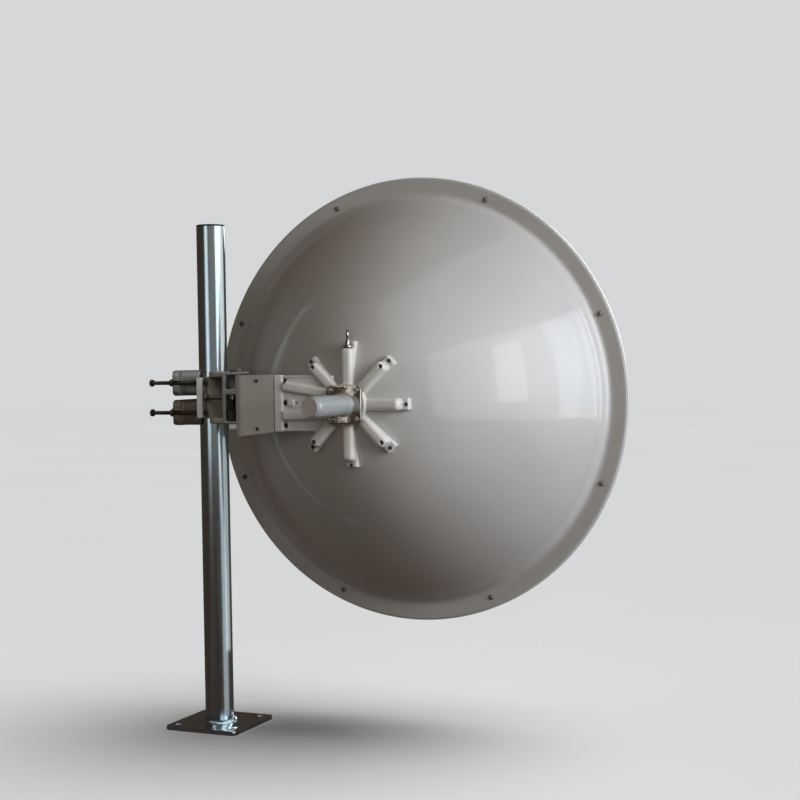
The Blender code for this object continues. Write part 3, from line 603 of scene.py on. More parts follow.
def bright_steel():
    """Polished steel with fine wiping marks and a soft warm tone, with painted shade dark in its recesses."""
    skin = Finish("bright_steel", look("steel_colour"), 0.10, metallic=1.0)
    wipe = skin.noise(90.0, 5.0, 0.6, skin.stretch((1.0, 1.0, 9.0), (0.2, 0.4, 0.6)))
    colour = skin.mix(skin.spread(wipe, 0.35, 0.7), skin.shade(0.86), skin.shade(1.08))
    # Painted shade: recesses go dark.
    colour = skin.mix(skin.spread(skin.painted_shade_mask(0.004), 0.3, 0.9), (0.12, 0.10, 0.07, 1.0), colour)
    marks = skin.relief(wipe, 0.10, 0.0002)
    dents = skin.relief(skin.noise(45.0, 2.0, 0.5), 0.45, 0.0012, marks)
    return skin.use(Base_Color=colour, Roughness=skin.spread(wipe, 0.3, 0.7, 0.06, 0.16), Normal=dents)


def black_plastic():
    """Moulded plug with a fine spark-eroded grain."""
    skin = Finish("black_plastic", look("plug_colour"), 0.5)
    grain = skin.noise(900.0, 3.0, 0.6)
    worn = skin.spread(skin.noise(60.0, 4.0), 0.4, 0.7, 0.0, 0.5)
    colour = skin.mix(worn, skin.colour, (0.05, 0.048, 0.045, 1.0))
    return skin.use(Base_Color=colour, Roughness=skin.spread(grain, 0.3, 0.7, 0.42, 0.6),
                    Normal=skin.relief(grain, 0.3, 0.0002))


def white_plastic():
    """Moulded radome skin: off-white, satin, with slow waves left by the mould."""
    skin = Finish("white_plastic", look("radome_colour"), 0.36, coat=0.12, coat_roughness=0.25)
    cloud = skin.noise(7.0, 4.0, 0.6)
    colour = skin.mix(skin.spread(cloud, 0.3, 0.7), skin.shade(0.955), skin.shade(1.02))
    rain = skin.spread(skin.noise(26.0, 4.0, 0.6, skin.stretch((1.0, 1.0, 0.12))), 0.58, 0.8, 0.0, 0.25)
    colour = skin.mix(rain, colour, skin.shade(0.85))
    fine = skin.relief(skin.noise(620.0, 2.0, 0.5), 0.12, 0.0003)
    wave = skin.relief(skin.noise(9.0, 2.0, 0.4), 0.10, 0.0020, fine)
    return skin.use(Base_Color=colour, Roughness=skin.spread(cloud, 0.3, 0.7, 0.32, 0.42), Normal=wave)


def tube_paint():
    """Pale blue-grey anodised tube with fine rings from turning."""
    skin = Finish("tube_paint", look("tube_colour"), 0.32, metallic=0.25, coat=0.3, coat_roughness=0.12)
    rings = skin.noise(300.0, 3.0, 0.6, skin.stretch((0.12, 6.0, 0.12)))
    colour = skin.mix(skin.spread(rings, 0.35, 0.7), skin.shade(0.95), skin.shade(1.04))
    colour = skin.mix(skin.spread(skin.noise(60.0, 4.0), 0.55, 0.8, 0.0, 0.4), colour, skin.shade(0.8))
    return skin.use(Base_Color=colour, Roughness=skin.spread(rings, 0.3, 0.7, 0.27, 0.4),
                    Normal=skin.relief(rings, 0.06, 0.0002))


def cap_paint():
    """Matt warm grey disc on the face of the feed tube's cap."""
    skin = Finish("cap_paint", look("cap_colour"), 0.55)
    grain = skin.noise(500.0, 3.0, 0.6)
    colour = skin.mix(skin.spread(skin.noise(70.0, 4.0), 0.4, 0.7), skin.shade(0.93), skin.shade(1.05))
    return skin.use(Base_Color=colour, Roughness=skin.spread(grain, 0.3, 0.7, 0.48, 0.62),
                    Normal=skin.relief(grain, 0.15, 0.0002))


def stage_paint():
    """Pale matt floor with hardly any gloss."""
    skin = Finish("stage_paint", (0.791, 0.817, 0.829), 0.9, specular=0.2)
    colour = skin.mix(skin.spread(skin.noise(0.8, 2.0), 0.3, 0.7), skin.shade(0.985), skin.shade(1.01))
    return skin.use(Base_Color=colour)


def once(make):
    """Each finish is made the first time that a piece asks for it, and then shared."""
    kept = []

    def give():
        if not kept:
            kept.append(make())
        return kept[0]
    return give


FINISHES = {
    "dish_coating": once(dish_paint),
    "light_coating": once(light_paint),
    "grey_casting": once(grey_casting),
    "brown_casting": once(brown_casting),
    "galvanised_steel": once(galvanised),
    "dark_steel": once(dark_steel),
    "bright_zinc": once(bright_zinc),
    "aged_zinc": once(aged_zinc),
    "bright_steel": once(bright_steel),
    "black_plastic": once(black_plastic),
    "white_plastic": once(white_plastic),
    "tube_coating": once(tube_paint),
    "cap_coating": once(cap_paint),
    "stage": once(stage_paint),
}


# Sizes and colours that a user would change

def length(name, description, default):
    """A size in metres."""
    return bpy.props.FloatProperty(name=name, description=description, default=default, min=0.0,
                                   unit="LENGTH", subtype="DISTANCE", precision=4)


def tint(name, description, default):
    """A surface's own colour."""
    return bpy.props.FloatVectorProperty(name=name, description=description, default=default, size=3,
                                         min=0.0, max=1.0, subtype="COLOR")


class ANTENNA_PG_dish(bpy.types.PropertyGroup):
    flange_radius: length("Flange radius", "Outer radius of the reflector's flange", 0.4490)
    bowl_radius: length("Bowl radius", "Radius where the bowl meets the step of the rim", 0.4000)
    bowl_depth: length("Bowl depth", "Height of the bowl's top over the flange", 0.3010)
    sheet: length("Sheet", "Thickness of the reflector's sheet", 0.0022)
    screw_circle: length("Screw circle", "Radius of the circle of rim screws", 0.4300)
    rim_screws: bpy.props.IntProperty(name="Rim screws", default=8, min=3, max=24,
                                      description="Number of screws on the flange")
    radome_radius: length("Radome radius", "Outer radius of the radome", 0.4515)
    radome_rise: length("Radome rise", "How far the middle of the radome stands out", 0.0500)


class ANTENNA_PG_mount(bpy.types.PropertyGroup):
    pole_radius: length("Pole radius", "Outer radius of the mast tube", 0.0285)
    pole_top: length("Pole top", "Height of the tube's top end", 1.0050)
    arm_reach: length("Arm reach", "Distance from the hub's middle to the end of an arm's crest", 0.1064)
    plate_wall: length("Plate wall", "Thickness of the folded arm plate", 0.0060)
    thread_pitch: length("Thread pitch", "Pitch of the M8 threads", 0.00125)


class ANTENNA_PG_looks(bpy.types.PropertyGroup):
    dish_colour: tint("Dish", "Paint of the reflector", (0.60, 0.585, 0.555))
    paint_colour: tint("Light paint", "Powder coat of the hub casting and the arm plate", (0.66, 0.645, 0.61))
    casting_colour: tint("Casting", "Grey coat of the clamp castings", (0.30, 0.30, 0.285))
    # Painted shade and painted reflection: the darker brown of the shaded lower jaw and of the mast bracket's
    # web.
    painted_shade_colour: tint("Brown casting", "Aged coat of the mast bracket and lower jaw", (0.31, 0.268, 0.21))
    zinc_colour: tint("Zinc", "Galvanised surface of the pole", (0.50, 0.60, 0.66))
    plating_colour: tint("Zinc plate", "Plating of the hinge's bolt and nut", (0.62, 0.58, 0.50))
    aged_colour: tint("Aged plate", "Dull plating of the elevation bolt", (0.20, 0.165, 0.125))
    steel_colour: tint("Bright steel", "Polished feed plate and lifting eye", (0.60, 0.57, 0.51))
    bolt_colour: tint("Dark bolts", "Steel of the clamp bolts", (0.115, 0.100, 0.088))
    plug_colour: tint("Plug", "Plastic of the plug in the mast's top", (0.022, 0.022, 0.023))
    radome_colour: tint("Radome", "Plastic of the radome", (0.78, 0.78, 0.76))
    tube_colour: tint("Feed tube", "Anodised surface of the feed tube", (0.47, 0.50, 0.485))
    cap_colour: tint("Feed cap", "Disc on the end of the feed tube", (0.58, 0.50, 0.475))


def dish():
    """The sizes of the dish."""
    return bpy.context.scene.antenna_dish


def mount():
    """The sizes of the mount."""
    return bpy.context.scene.antenna_mount


def look(name):
    """One of the colours, by name."""
    return tuple(getattr(bpy.context.scene.antenna_looks, name))


# Dish

BOWL_START = 0.0215
BOWL_HOLE = 0.0220
BOWL_RINGS = 36
ROUND_STEPS = 256
FLANGE_RADII = (0.4260, 0.4340, 0.4420)
# Radius and height of the points on the step from the bowl down to the flange
STEP = ((0.4040, 0.0180), (0.4062, 0.0140), (0.4082, 0.0104), (0.4102, 0.0071), (0.4124, 0.0042),
        (0.4150, 0.0019), (0.4182, 0.0005), (0.4215, 0.0))


def bowl_height(radius):
    """Height of the bowl's rear face over the flange."""
    return BOWL_START + (dish().bowl_depth - BOWL_START) * (1 - (radius / dish().bowl_radius) ** 2)


def bowl_slope(radius):
    """How far the bowl falls for each metre outwards."""
    return 2 * (dish().bowl_depth - BOWL_START) * radius / dish().bowl_radius ** 2


class ANTENNA_OT_reflector(bpy.types.Operator):
    """Model the spun bowl with its step, flat flange and rolled outer edge"""
    bl_idname = "antenna.reflector"
    bl_label = "Reflector"

    def execute(self, context):
        sheet = dish().sheet
        radii = [BOWL_HOLE + (dish().bowl_radius - BOWL_HOLE) * i / BOWL_RINGS for i in range(BOWL_RINGS + 1)]
        back = [(radius, bowl_height(radius)) for radius in radii] + list(STEP)
        edge = dish().flange_radius - sheet / 2
        back += [(radius, 0.0) for radius in FLANGE_RADII]
        rim = bend((edge, -sheet / 2), sheet / 2, 90, -90, 6)
        front = []
        for before, here, after in zip(back, back[1:], back[2:]):
            run = Vector((after[0] - before[0], after[1] - before[1])).normalized()
            front.append((here[0] + run.y * sheet, here[1] - run.x * sheet))
        start = bowl_slope(BOWL_HOLE)
        front.insert(0, (BOWL_HOLE, bowl_height(BOWL_HOLE) - sheet / math.hypot(1, start)))
        front.append((back[-1][0], -sheet))
        bowl = lathe("reflector_bowl", back + rim + front[::-1], ROUND_STEPS, closed=True)
        set_at(bowl, AT_RIM)
        fit_up(bowl, "head", "dish_coating", ["reflector"], smooth=40)
        return {"FINISHED"}


class ANTENNA_OT_rim_screws(bpy.types.Operator):
    """Model one rim screw with its washer and copy it round the flange"""
    bl_idname = "antenna.rim_screws"
    bl_label = "Rim screws"

    def execute(self, context):
        first = button_screw("rim_screw_1", head_radius=0.0038, head_high=0.0024, socket=0.0017,
                             washer_radius=0.0056, washer_thick=0.0010)
        count = dish().rim_screws
        for i in range(count):
            angle = math.tau * (i + 0.5) / count
            place = Matrix.Rotation(angle, 4, "Z") @ Matrix.Translation((dish().screw_circle, 0, 0.00005))
            screw = copy_of(first, f"rim_screw_{i + 1}", AT_RIM @ place)
            fit_up(screw, "head", "grey_casting", smooth=30)
        bpy.data.objects.remove(first, do_unlink=True)
        return {"FINISHED"}


class ANTENNA_OT_radome(bpy.types.Operator):
    """Model the shallow plastic cover with its rounded edge band"""
    bl_idname = "antenna.radome"
    bl_label = "Radome"

    def execute(self, context):
        wall, open_radius, count = 0.0030, 0.4400, 24
        top = -dish().sheet - GAP
        radius, rise = dish().radome_radius, dish().radome_rise
        band = top - 0.0085
        apex = band - rise
        inner = [(open_radius * i / count, apex + wall + (rise - 0.001) * (i / count) ** 2)
                 for i in range(count + 1)]
        edge = bend((radius - 0.0010, top - 0.0010), 0.0010, 90, 0, 4)
        skirt = [(radius, top - 0.0045), (radius - 0.0004, top - 0.0049), (radius - 0.0004, top - 0.0055),
                 (radius, top - 0.0059)]
        shoulder = bend((radius - 0.0052, band + 0.0052), 0.0052, 0, -78, 8)
        out, height = shoulder[-1]
        outer = [(out * i / count, apex + (height - apex) * (i / count) ** 2)
                 for i in range(count - 1, -1, -1)]
        profile = inner + [(0.4408, top - 0.0008), (0.4416, top)] + edge + skirt + shoulder + outer
        cover = lathe("radome_cover", profile, ROUND_STEPS)
        set_at(cover, AT_RIM)
        fit_up(cover, "head", "white_plastic", ["radome"], smooth=40)
        return {"FINISHED"}


# Hub casting, with heights over the flange. West is the pole's side.

ARM_ANGLES = (0, 45, 90, 135, 225, 270, 315)
BORED_ANGLES = (45, 135, 225, 315)
ARM_CREST = 0.3102
ARM_HALF_WIDTH = 0.0119
PAD_TOP = 0.2917
PAD_HALF_WIDTH = 0.0114
PAD_SCREW_AT = 0.1140
BORE_AT = 0.0994
BORE_FLOOR = 0.2925
BORE_RADIUS = 0.0043
HUB_TOP = 0.3142
HUB_RADIUS = 0.0397
ABOVE_HUB = 0.330
SEAT_RADIUS = 0.200
WEST_TOP = 0.3020
WEST_FRONT = 0.3060
WEST_LEFT = -0.1530
WEST_LOW, WEST_HIGH = -0.0505, 0.0555
RIDGE_MIDDLE_X, RIDGE_RUN = -0.082, 0.112
POCKET_FLOOR = 0.2975
WEST_SCREWS = ((-0.1322, 0.0445), (-0.1322, 0.0035), (-0.1322, -0.0395))
SMALL_HOLE = (-0.1085, 0.0035)


def turned_to(angle):
    """A turn about the dish's axis, in degrees."""
    return Matrix.Rotation(math.radians(angle), 4, "Z")


def hub_arms():
    """The ribs that spread from the hub, each with the lower pad at its end."""
    arms = []
    for angle in ARM_ANGLES:
        rib = rounded_block("arm_rib", (0.020, -ARM_HALF_WIDTH, 0.245),
                            (mount().arm_reach, ARM_HALF_WIDTH, ARM_CREST), 0.0088, 6)
        pad = rounded_block("arm_pad", (0.080, -PAD_HALF_WIDTH, 0.240), (0.1185, PAD_HALF_WIDTH, PAD_TOP),
                            0.0024, 3)
        arms += [set_at(piece, turned_to(angle)) for piece in (rib, pad)]
    return arms


def west_bracket():
    """The broad bracket: its plate, end strip, two slanting ridges, boss and two edge beads."""
    shapes = [
        rounded_block("west_plate", (WEST_LEFT, WEST_LOW, 0.2925), (-0.030, WEST_HIGH, WEST_TOP), 0.0025, 3),
        rounded_block("west_strip", (-0.1553, WEST_LOW - 0.0012, 0.2922),
                      (-0.1372, WEST_HIGH + 0.0012, WEST_FRONT - 0.0001), 0.0016, 3)]
    for y_wide, y_near in ((0.0365, 0.019), (-0.0205, -0.018)):
        size = Vector((math.hypot(RIDGE_RUN, y_wide - y_near), 0.0200, 0.0160)) / 2
        ridge = rounded_block("west_ridge", -size, size, 0.0062, 5)
        turn = Matrix.Rotation(math.atan2(y_near - y_wide, RIDGE_RUN), 4, "Z")
        spot = Matrix.Translation((RIDGE_MIDDLE_X, (y_wide + y_near) / 2, 0.3027))
        shapes.append(set_at(ridge, spot @ turn))
    shapes.append(rounded_block("west_boss", (-0.1285, -0.0035, 0.2960), (-0.1130, 0.0105, 0.3052),
                                0.0030, 4))
    for y_low, y_high in ((WEST_LOW, -0.0465), (0.0515, WEST_HIGH)):
        shapes.append(rounded_block("west_edge", (WEST_LEFT, y_low, 0.2940), (-0.0600, y_high, 0.3046),
                                    0.0018, 3))
    return shapes


def hub_cutters():
    """Cutters for the casting's bores, screw pockets and small hole, and for its seat on the bowl."""
    tools = []
    for angle in BORED_ANGLES:
        bore = lathe("arm_bore", [
            (0, BORE_FLOOR), (BORE_RADIUS, BORE_FLOOR), (BORE_RADIUS, 0.3088), (BORE_RADIUS + 0.0006, 0.3103),
            (BORE_RADIUS + 0.0006, ABOVE_HUB), (0, ABOVE_HUB)], 32)
        tools.append(set_at(bore, turned_to(angle) @ Matrix.Translation((BORE_AT, 0, 0))))
    for x, y in WEST_SCREWS:
        tools.append(rounded_block("screw_pocket", (x - 0.0044, y - 0.0062, POCKET_FLOOR),
                                   (x + 0.0044, y + 0.0062, ABOVE_HUB), 0.0043, 6, axis=2))
    tools.append(drum("small_hole", (*SMALL_HOLE, 0.2960), (*SMALL_HOLE, ABOVE_HUB), 0.0024, 24))
    count = 40
    radii = [SEAT_RADIUS * i / count for i in range(count + 1)]
    seat = [(radius, bowl_height(radius) + 0.0005) for radius in radii]
    tools.append(lathe("bowl_seat", seat + [(SEAT_RADIUS, 0.100), (0, 0.100)], 160))
    return tools


class ANTENNA_OT_hub_casting(bpy.types.Operator):
    """Merge the hub, its seven arms and the broad bracket into one casting with soft inner corners"""
    bl_idname = "antenna.hub_casting"
    bl_label = "Hub casting"

    def execute(self, context):
        hub = drum("hub_casting", (0, 0, 0.262), (0, 0, HUB_TOP), HUB_RADIUS, 64)
        casting = cast("hub_casting", [hub, *hub_arms(), *west_bracket()], 0.0012, 5)
        cut(casting, *hub_cutters())
        set_at(casting, AT_RIM)
        fit_up(casting, "head", "light_coating", ["spider_casting"], smooth=32)
        return {"FINISHED"}


class ANTENNA_OT_hub_screws(bpy.types.Operator):
    """Model the screws on the casting's pads, in its bores and in its pockets, and copy each kind"""
    bl_idname = "antenna.hub_screws"
    bl_label = "Hub screws"

    def execute(self, context):
        pad = button_screw("pad_screw", head_radius=0.0037, head_high=0.0024, socket=0.0017)
        deep = cap_screw("bore_screw", head_radius=0.0038, head_high=0.0030, socket=0.0018)
        for angle in ARM_ANGLES:
            place = turned_to(angle) @ Matrix.Translation((PAD_SCREW_AT, 0, PAD_TOP - 0.0002))
            fit_up(copy_of(pad, f"pad_screw_{angle}", AT_RIM @ place), "head", "dark_steel", smooth=30)
        for angle in BORED_ANGLES:
            place = turned_to(angle) @ Matrix.Translation((BORE_AT, 0, BORE_FLOOR))
            fit_up(copy_of(deep, f"bore_screw_{angle}", AT_RIM @ place), "head", "dark_steel", smooth=30)
        for i, (x, y) in enumerate(WEST_SCREWS):
            place = Matrix.Translation((x, y, POCKET_FLOOR))
            fit_up(copy_of(deep, f"pocket_screw_{i + 1}", AT_RIM @ place), "head", "dark_steel", smooth=30)
        for master in (pad, deep):
            bpy.data.objects.remove(master, do_unlink=True)
        return {"FINISHED"}


FEED_PLATE_HALF = 0.0360
FEED_PLATE_THICK = 0.0080
FEED_SCREW_AT = 0.0270
FEED_WASHER_THICK = 0.0010
FEED_TUBE_RADIUS = 0.0197
FEED_TUBE_TOP = 0.4440
FEED_CAP_HIGH = 0.0160
FEED_STEPS = 96


class ANTENNA_OT_feed(bpy.types.Operator):
    """Model the bright feed plate with its screws, the feed tube and the cap on its end"""
    bl_idname = "antenna.feed"
    bl_label = "Feed"

    def execute(self, context):
        low, half = HUB_TOP + GAP, FEED_PLATE_HALF
        high = low + FEED_PLATE_THICK
        base = rounded_block("feed_base", (-half, -half, low), (half, half, high), 0.0100, 8, axis=2)
        soften(base, 0.0012, 3)
        set_at(base, AT_RIM)
        fit_up(base, "head", "bright_steel", ["feed_plate"], smooth=30)
        first = cap_screw("feed_screw", head_radius=0.0040, head_high=0.0042, socket=0.0018)
        set_at(first, Matrix.Translation((0, 0, FEED_WASHER_THICK)))
        flat = washer("feed_washer", 0.0056, 0.0021, FEED_WASHER_THICK)
        first = gather("feed_screw", [first, flat])
        for i, (x, y) in enumerate(((-1, 1), (1, 1), (1, -1), (-1, -1))):
            place = Matrix.Translation((x * FEED_SCREW_AT, y * FEED_SCREW_AT, high))
            screw = copy_of(first, f"feed_screw_{i + 1}", AT_RIM @ place)
            fit_up(screw, "head", "bright_zinc", smooth=30)
        bpy.data.objects.remove(first, do_unlink=True)
        radius, wall, edge = FEED_TUBE_RADIUS, 0.0030, 0.0004
        foot, top = high + GAP, FEED_TUBE_TOP
        tube = lathe("feed_pipe", [
            (radius - wall, foot), (radius + 0.0022, foot), (radius + 0.0028, foot + 0.0006),
            (radius + 0.0028, foot + 0.0020), (radius + 0.0022, foot + 0.0027),
            (radius + 0.0006, foot + 0.0030), (radius, foot + 0.0038), (radius, foot + 0.0300),
            (radius, foot + 0.0600), (radius, top - edge), (radius - edge, top), (radius - wall + edge, top),
            (radius - wall, top - edge)], FEED_STEPS, closed=True)
        set_at(tube, AT_RIM)
        fit_up(tube, "head", "tube_coating", ["feed_tube"], smooth=30)
        low = top + GAP
        high = low + FEED_CAP_HIGH
        cap = lathe("feed_cap", [
            (0, low), (0.0192, low), (0.0197, low + 0.0006), (0.0196, low + 0.0036), (0.0190, low + 0.0052),
            (0.0181, low + 0.0062), (0.0177, low + 0.0074), (0.0176, high - 0.0014), (0.0172, high - 0.0004),
            (0.0169, high), (0.0165, high), (0.0162, high - 0.0005), (0, high - 0.0005)], FEED_STEPS)
        set_at(cap, AT_RIM)
        fit_up(cap, "head", "tube_coating", ["feed_tube_cap"], smooth=30)
        face = lathe("feed_label", [
            (0, high - 0.0004), (0.0159, high - 0.0004), (0.0161, high - 0.0006), (0.0161, high - 0.0010),
            (0, high - 0.0010)], FEED_STEPS)
        set_at(face, AT_RIM)
        fit_up(face, "head", "cap_coating", smooth=30)
        return {"FINISHED"}


class ANTENNA_OT_lifting_eye(bpy.types.Operator):
    """Model the forged eye with its collar at the end of the upper arm"""
    bl_idname = "antenna.lifting_eye"
    bl_label = "Lifting eye"

    def execute(self, context):
        wire, ring, height, centre = 0.0028, 0.0075, 0.2992, 0.1301
        seat = mount().arm_reach + GAP
        put_down()
        bpy.ops.mesh.primitive_torus_add(
            major_segments=64, minor_segments=20, major_radius=ring, minor_radius=wire,
            location=(0, centre, height), rotation=(0, math.radians(114), 0))
        loop = named("eye_loop")
        bpy.ops.object.transform_apply(location=True, rotation=True, scale=True)
        neck = centre - ring - seat
        collar = lathe("eye_collar", [
            (0, 0), (0.0092, 0), (0.0097, 0.0005), (0.0097, 0.0026), (0.0090, 0.0034), (0.0062, 0.0040),
            (0.0048, 0.0052), (0.0041, 0.0084), (0.0038, neck), (0, neck)], 48)
        set_at(collar, Matrix.Translation((0, seat, height)) @ ALONG_Y)
        eye = cast("eye_bolt", [loop, collar], 0.00035, 5)
        set_at(eye, AT_RIM)
        fit_up(eye, "head", "bright_steel", ["lifting_eye"], smooth=60)
        return {"FINISHED"}


# Arm plate, swivel bracket and hinge, measured from the middle of the clamp

PLATE_LEFT, PLATE_RIGHT = 0.1015, 0.1930
PLATE_FACE, PLATE_BACK, PLATE_LIP = -0.1030, -0.0585, -0.0785
PLATE_TOP = 0.0445
PLATE_LOW_LEFT, PLATE_LOW_RIGHT = -0.0745, -0.0645
PLATE_BEND = 0.0220
TONGUE_SEAT = 0.2920
PLATE_SCREW_X, PLATE_SCREW_RISE = 0.1570, 0.046


class ANTENNA_OT_arm_plate(bpy.types.Operator):
    """Model the folded arm plate with its rounded left bend, walls and tongue, and its two screws"""
    bl_idname = "antenna.arm_plate"
    bl_label = "Arm plate"

    def execute(self, context):
        wall, radius = mount().plate_wall, PLATE_BEND
        knee = (PLATE_LEFT + radius, PLATE_FACE + radius)
        outline = [(PLATE_RIGHT, PLATE_FACE)] + bend(knee, radius, 270, 180, 16)
        outline += [(PLATE_LEFT, PLATE_LIP), (PLATE_LEFT + wall, PLATE_LIP)]
        outline += bend(knee, radius - wall, 180, 270, 12) + [(PLATE_RIGHT, PLATE_FACE + wall)]
        plate = slab("folded_plate", outline, PLATE_LOW_LEFT, PLATE_TOP)
        front = PLATE_FACE + 0.002
        rim = [(PLATE_RIGHT, front)] + bend(knee, radius - 0.002, 270, 180, 10)
        rim += [(PLATE_LEFT + 0.002, PLATE_LIP), (PLATE_LEFT, PLATE_LIP), (PLATE_LEFT, PLATE_BACK),
                (PLATE_RIGHT, PLATE_BACK)]
        tongue = RIM_CENTRE.y - TONGUE_SEAT + GAP
        slope = math.atan2(PLATE_LOW_RIGHT - PLATE_LOW_LEFT, PLATE_RIGHT - PLATE_LEFT)
        run, centre = PLATE_RIGHT - PLATE_LEFT, (PLATE_LEFT + PLATE_RIGHT) / 2
        tilt = Matrix.Translation((centre, 0, (PLATE_LOW_LEFT + PLATE_LOW_RIGHT) / 2))
        tilt = tilt @ Matrix.Rotation(-slope, 4, "Y")
        along = [((x - centre) / math.cos(slope), y) for x, y in rim]
        weld(plate,
             slab("top_wall", rim, PLATE_TOP - wall, PLATE_TOP),
             block("right_wall", (PLATE_RIGHT - wall, front, -0.060),
                   (PLATE_RIGHT, PLATE_BACK - 0.0075, PLATE_TOP)),
             block("tongue", (PLATE_RIGHT - 0.002, tongue, -0.050), (0.221, tongue + 0.0117, 0.036)),
             set_at(slab("low_wall", along, 0, wall), tilt))
        cut(plate,
            set_at(block("trim_low", (-run, -0.12, -0.05), (run, 0.0, 0)), tilt),
            block("trim_left", (0.05, -0.12, -0.12), (PLATE_LEFT, 0.0, 0.06)),
            block("trim_right", (PLATE_RIGHT, -0.12, -0.12), (0.25, 0.0, -0.055)))
        modify(plate, "BEVEL", width=0.0011, segments=3, limit_method="ANGLE",
               angle_limit=math.radians(40))
        set_at(plate, AT_CLAMP)
        fit_up(plate, "head", "light_coating", ["arm_plate"], smooth=30)
        first = button_screw("plate_screw", head_radius=0.0037, head_high=0.0022, socket=0.0016)
        for name, rise in (("upper", PLATE_SCREW_RISE), ("lower", -PLATE_SCREW_RISE)):
            place = Matrix.Translation((PLATE_SCREW_X, PLATE_FACE, RIM_CENTRE.z + rise)) @ ALONG_Y @ DOWN
            fit_up(copy_of(first, "plate_screw_" + name, place), "head", "dark_steel", smooth=30)
        bpy.data.objects.remove(first, do_unlink=True)
        return {"FINISHED"}


LUG_FRONT, LUG_BACK = -0.0780, -0.0350
LUG_TOP, LUG_TOP_UNDER = 0.0510, 0.0448
LUG_LOW, LUG_LOW_TOP = -0.0505, -0.0455
RIB_LOW, RIB_HIGH = 0.0065, 0.0168
SWIVEL_LEFT, SWIVEL_RIGHT = 0.0653, 0.0733
HINGE_X, HINGE_Y = 0.0930, -0.0580
HINGE_FOOT = -0.0612
LUG_SCREW_X, LUG_SCREW_Y = 0.0872, -0.0735
ADJUSTER_X, ADJUSTER_Y = 0.0835, -0.0700
ELEVATION_Y = -0.0450
ELEVATION_SWING = math.radians(10)
SLOT_HALF_WIDTH = 0.0054


def lug_outline(left, right):
    """A lug seen from above, with its right end slanting back."""
    return [(left, LUG_FRONT), (right, LUG_FRONT), (right - 0.0200, LUG_BACK), (left, LUG_BACK)]


def at(x, y, z):
    """A place measured from the middle of the clamp."""
    return AT_CLAMP @ Matrix.Translation((x, y, z))


class ANTENNA_OT_swivel_bracket(bpy.types.Operator):
    """Model the cast bracket with its plate, three lugs and web, its arc slot and its holes"""
    bl_idname = "antenna.swivel_bracket"
    bl_label = "Swivel bracket"

    def execute(self, context):
        start = SWIVEL_RIGHT - 0.002
        shapes = [
            rounded_block("swivel_casting", (SWIVEL_LEFT, LUG_FRONT, -0.050),
                          (SWIVEL_RIGHT, 0.028, 0.050), 0.0014),
            soften(slab("upper_lug", lug_outline(start, 0.1244), LUG_TOP_UNDER, LUG_TOP), 0.0012, 2),
            soften(slab("lower_lug", lug_outline(start, 0.1210), LUG_LOW, LUG_LOW_TOP), 0.0012, 2),
            rounded_block("middle_lug", (start, LUG_FRONT, RIB_LOW), (0.1000, -0.0560, RIB_HIGH), 0.0012),
            rounded_block("lug_boss", (0.0850, LUG_FRONT + 0.0006, RIB_LOW), (0.0996, -0.0515, RIB_HIGH),
                          0.0012),
            rounded_block("lug_web", (start, -0.0600, RIB_HIGH - 0.001),
                          (0.0855, -0.0555, LUG_TOP_UNDER + 0.001), 0.0010)]
        casting = cast("swivel_casting", shapes)
        swing = abs(ELEVATION_Y) * math.sin(ELEVATION_SWING)
        half = SLOT_HALF_WIDTH
        cut(casting,
            rounded_block("arc_slot", (0.05, ELEVATION_Y - half, -swing - half),
                          (0.09, ELEVATION_Y + half, swing + half), 0.0052, 8, axis=0),
            drum("pivot_hole", (0.05, 0, 0), (0.09, 0, 0), M12_HOLE, 32, axis=0),
            drum("hinge_hole", (HINGE_X, HINGE_Y, -0.060), (HINGE_X, HINGE_Y, 0.060), M8_HOLE, 32))
        set_at(casting, AT_CLAMP)
        fit_up(casting, "head", "grey_casting", ["swivel_bracket"], smooth=40)
        head = soften(hexagon("lug_screw", 0.0050, 0.0042), 0.0003, 1, 40)
        set_at(head, at(LUG_SCREW_X, LUG_SCREW_Y, LUG_TOP))
        fit_up(head, "head", "dark_steel", smooth=30)
        return {"FINISHED"}


class ANTENNA_OT_hinge(bpy.types.Operator):
    """Model the two hinge blocks with the long bolt and the nut that hold them"""
    bl_idname = "antenna.hinge"
    bl_label = "Hinge"

    def execute(self, context):
        upper = cast("upper_hinge_block", [
            rounded_block("knuckle", (0.0870, -0.0660, 0.0185), (PLATE_LEFT - GAP, -0.0450, 0.0445), 0.0016),
            rounded_block("neck", (0.0950, -0.0655, 0.0190), (0.1180, -0.0455, 0.0382), 0.0012),
            rounded_block("tail", (0.1115, -0.0770, 0.0185), (0.1650, -0.0450, 0.0382), 0.0016)], passes=3)
        lower = rounded_block("lower_hinge_block", (0.0790, -0.0770, HINGE_FOOT), (0.1650, -0.0450, -0.0508),
                              0.0016, 3)
        # The upper block takes the darker grey casting coat as painted shade, for it sits in the shade under
        # the upper lug; the lower block takes the light coat.
        for piece, node, finish in ((upper, "hinge_block_upper", "grey_casting"),
                                    (lower, "hinge_block_lower", "light_coating")):
            cut(piece, drum("hinge_bore", (HINGE_X, HINGE_Y, -0.08), (HINGE_X, HINGE_Y, 0.08), M8_HOLE, 32))
            set_at(piece, AT_CLAMP)
            fit_up(piece, "head", finish, [node], smooth=40)
        long_bolt = m8_bolt("hinge_long_bolt", 0.1248, plain=0.092)
        set_at(long_bolt, at(HINGE_X, HINGE_Y, LUG_TOP + GAP))
        fit_up(long_bolt, "head", "bright_zinc", ["hinge_bolt"], smooth=30)
        held = washered_nut("hinge_lock_nut")
        set_at(held, at(HINGE_X, HINGE_Y, HINGE_FOOT - GAP) @ DOWN)
        fit_up(held, "head", "bright_zinc", ["hinge_nut"], smooth=30)
        return {"FINISHED"}


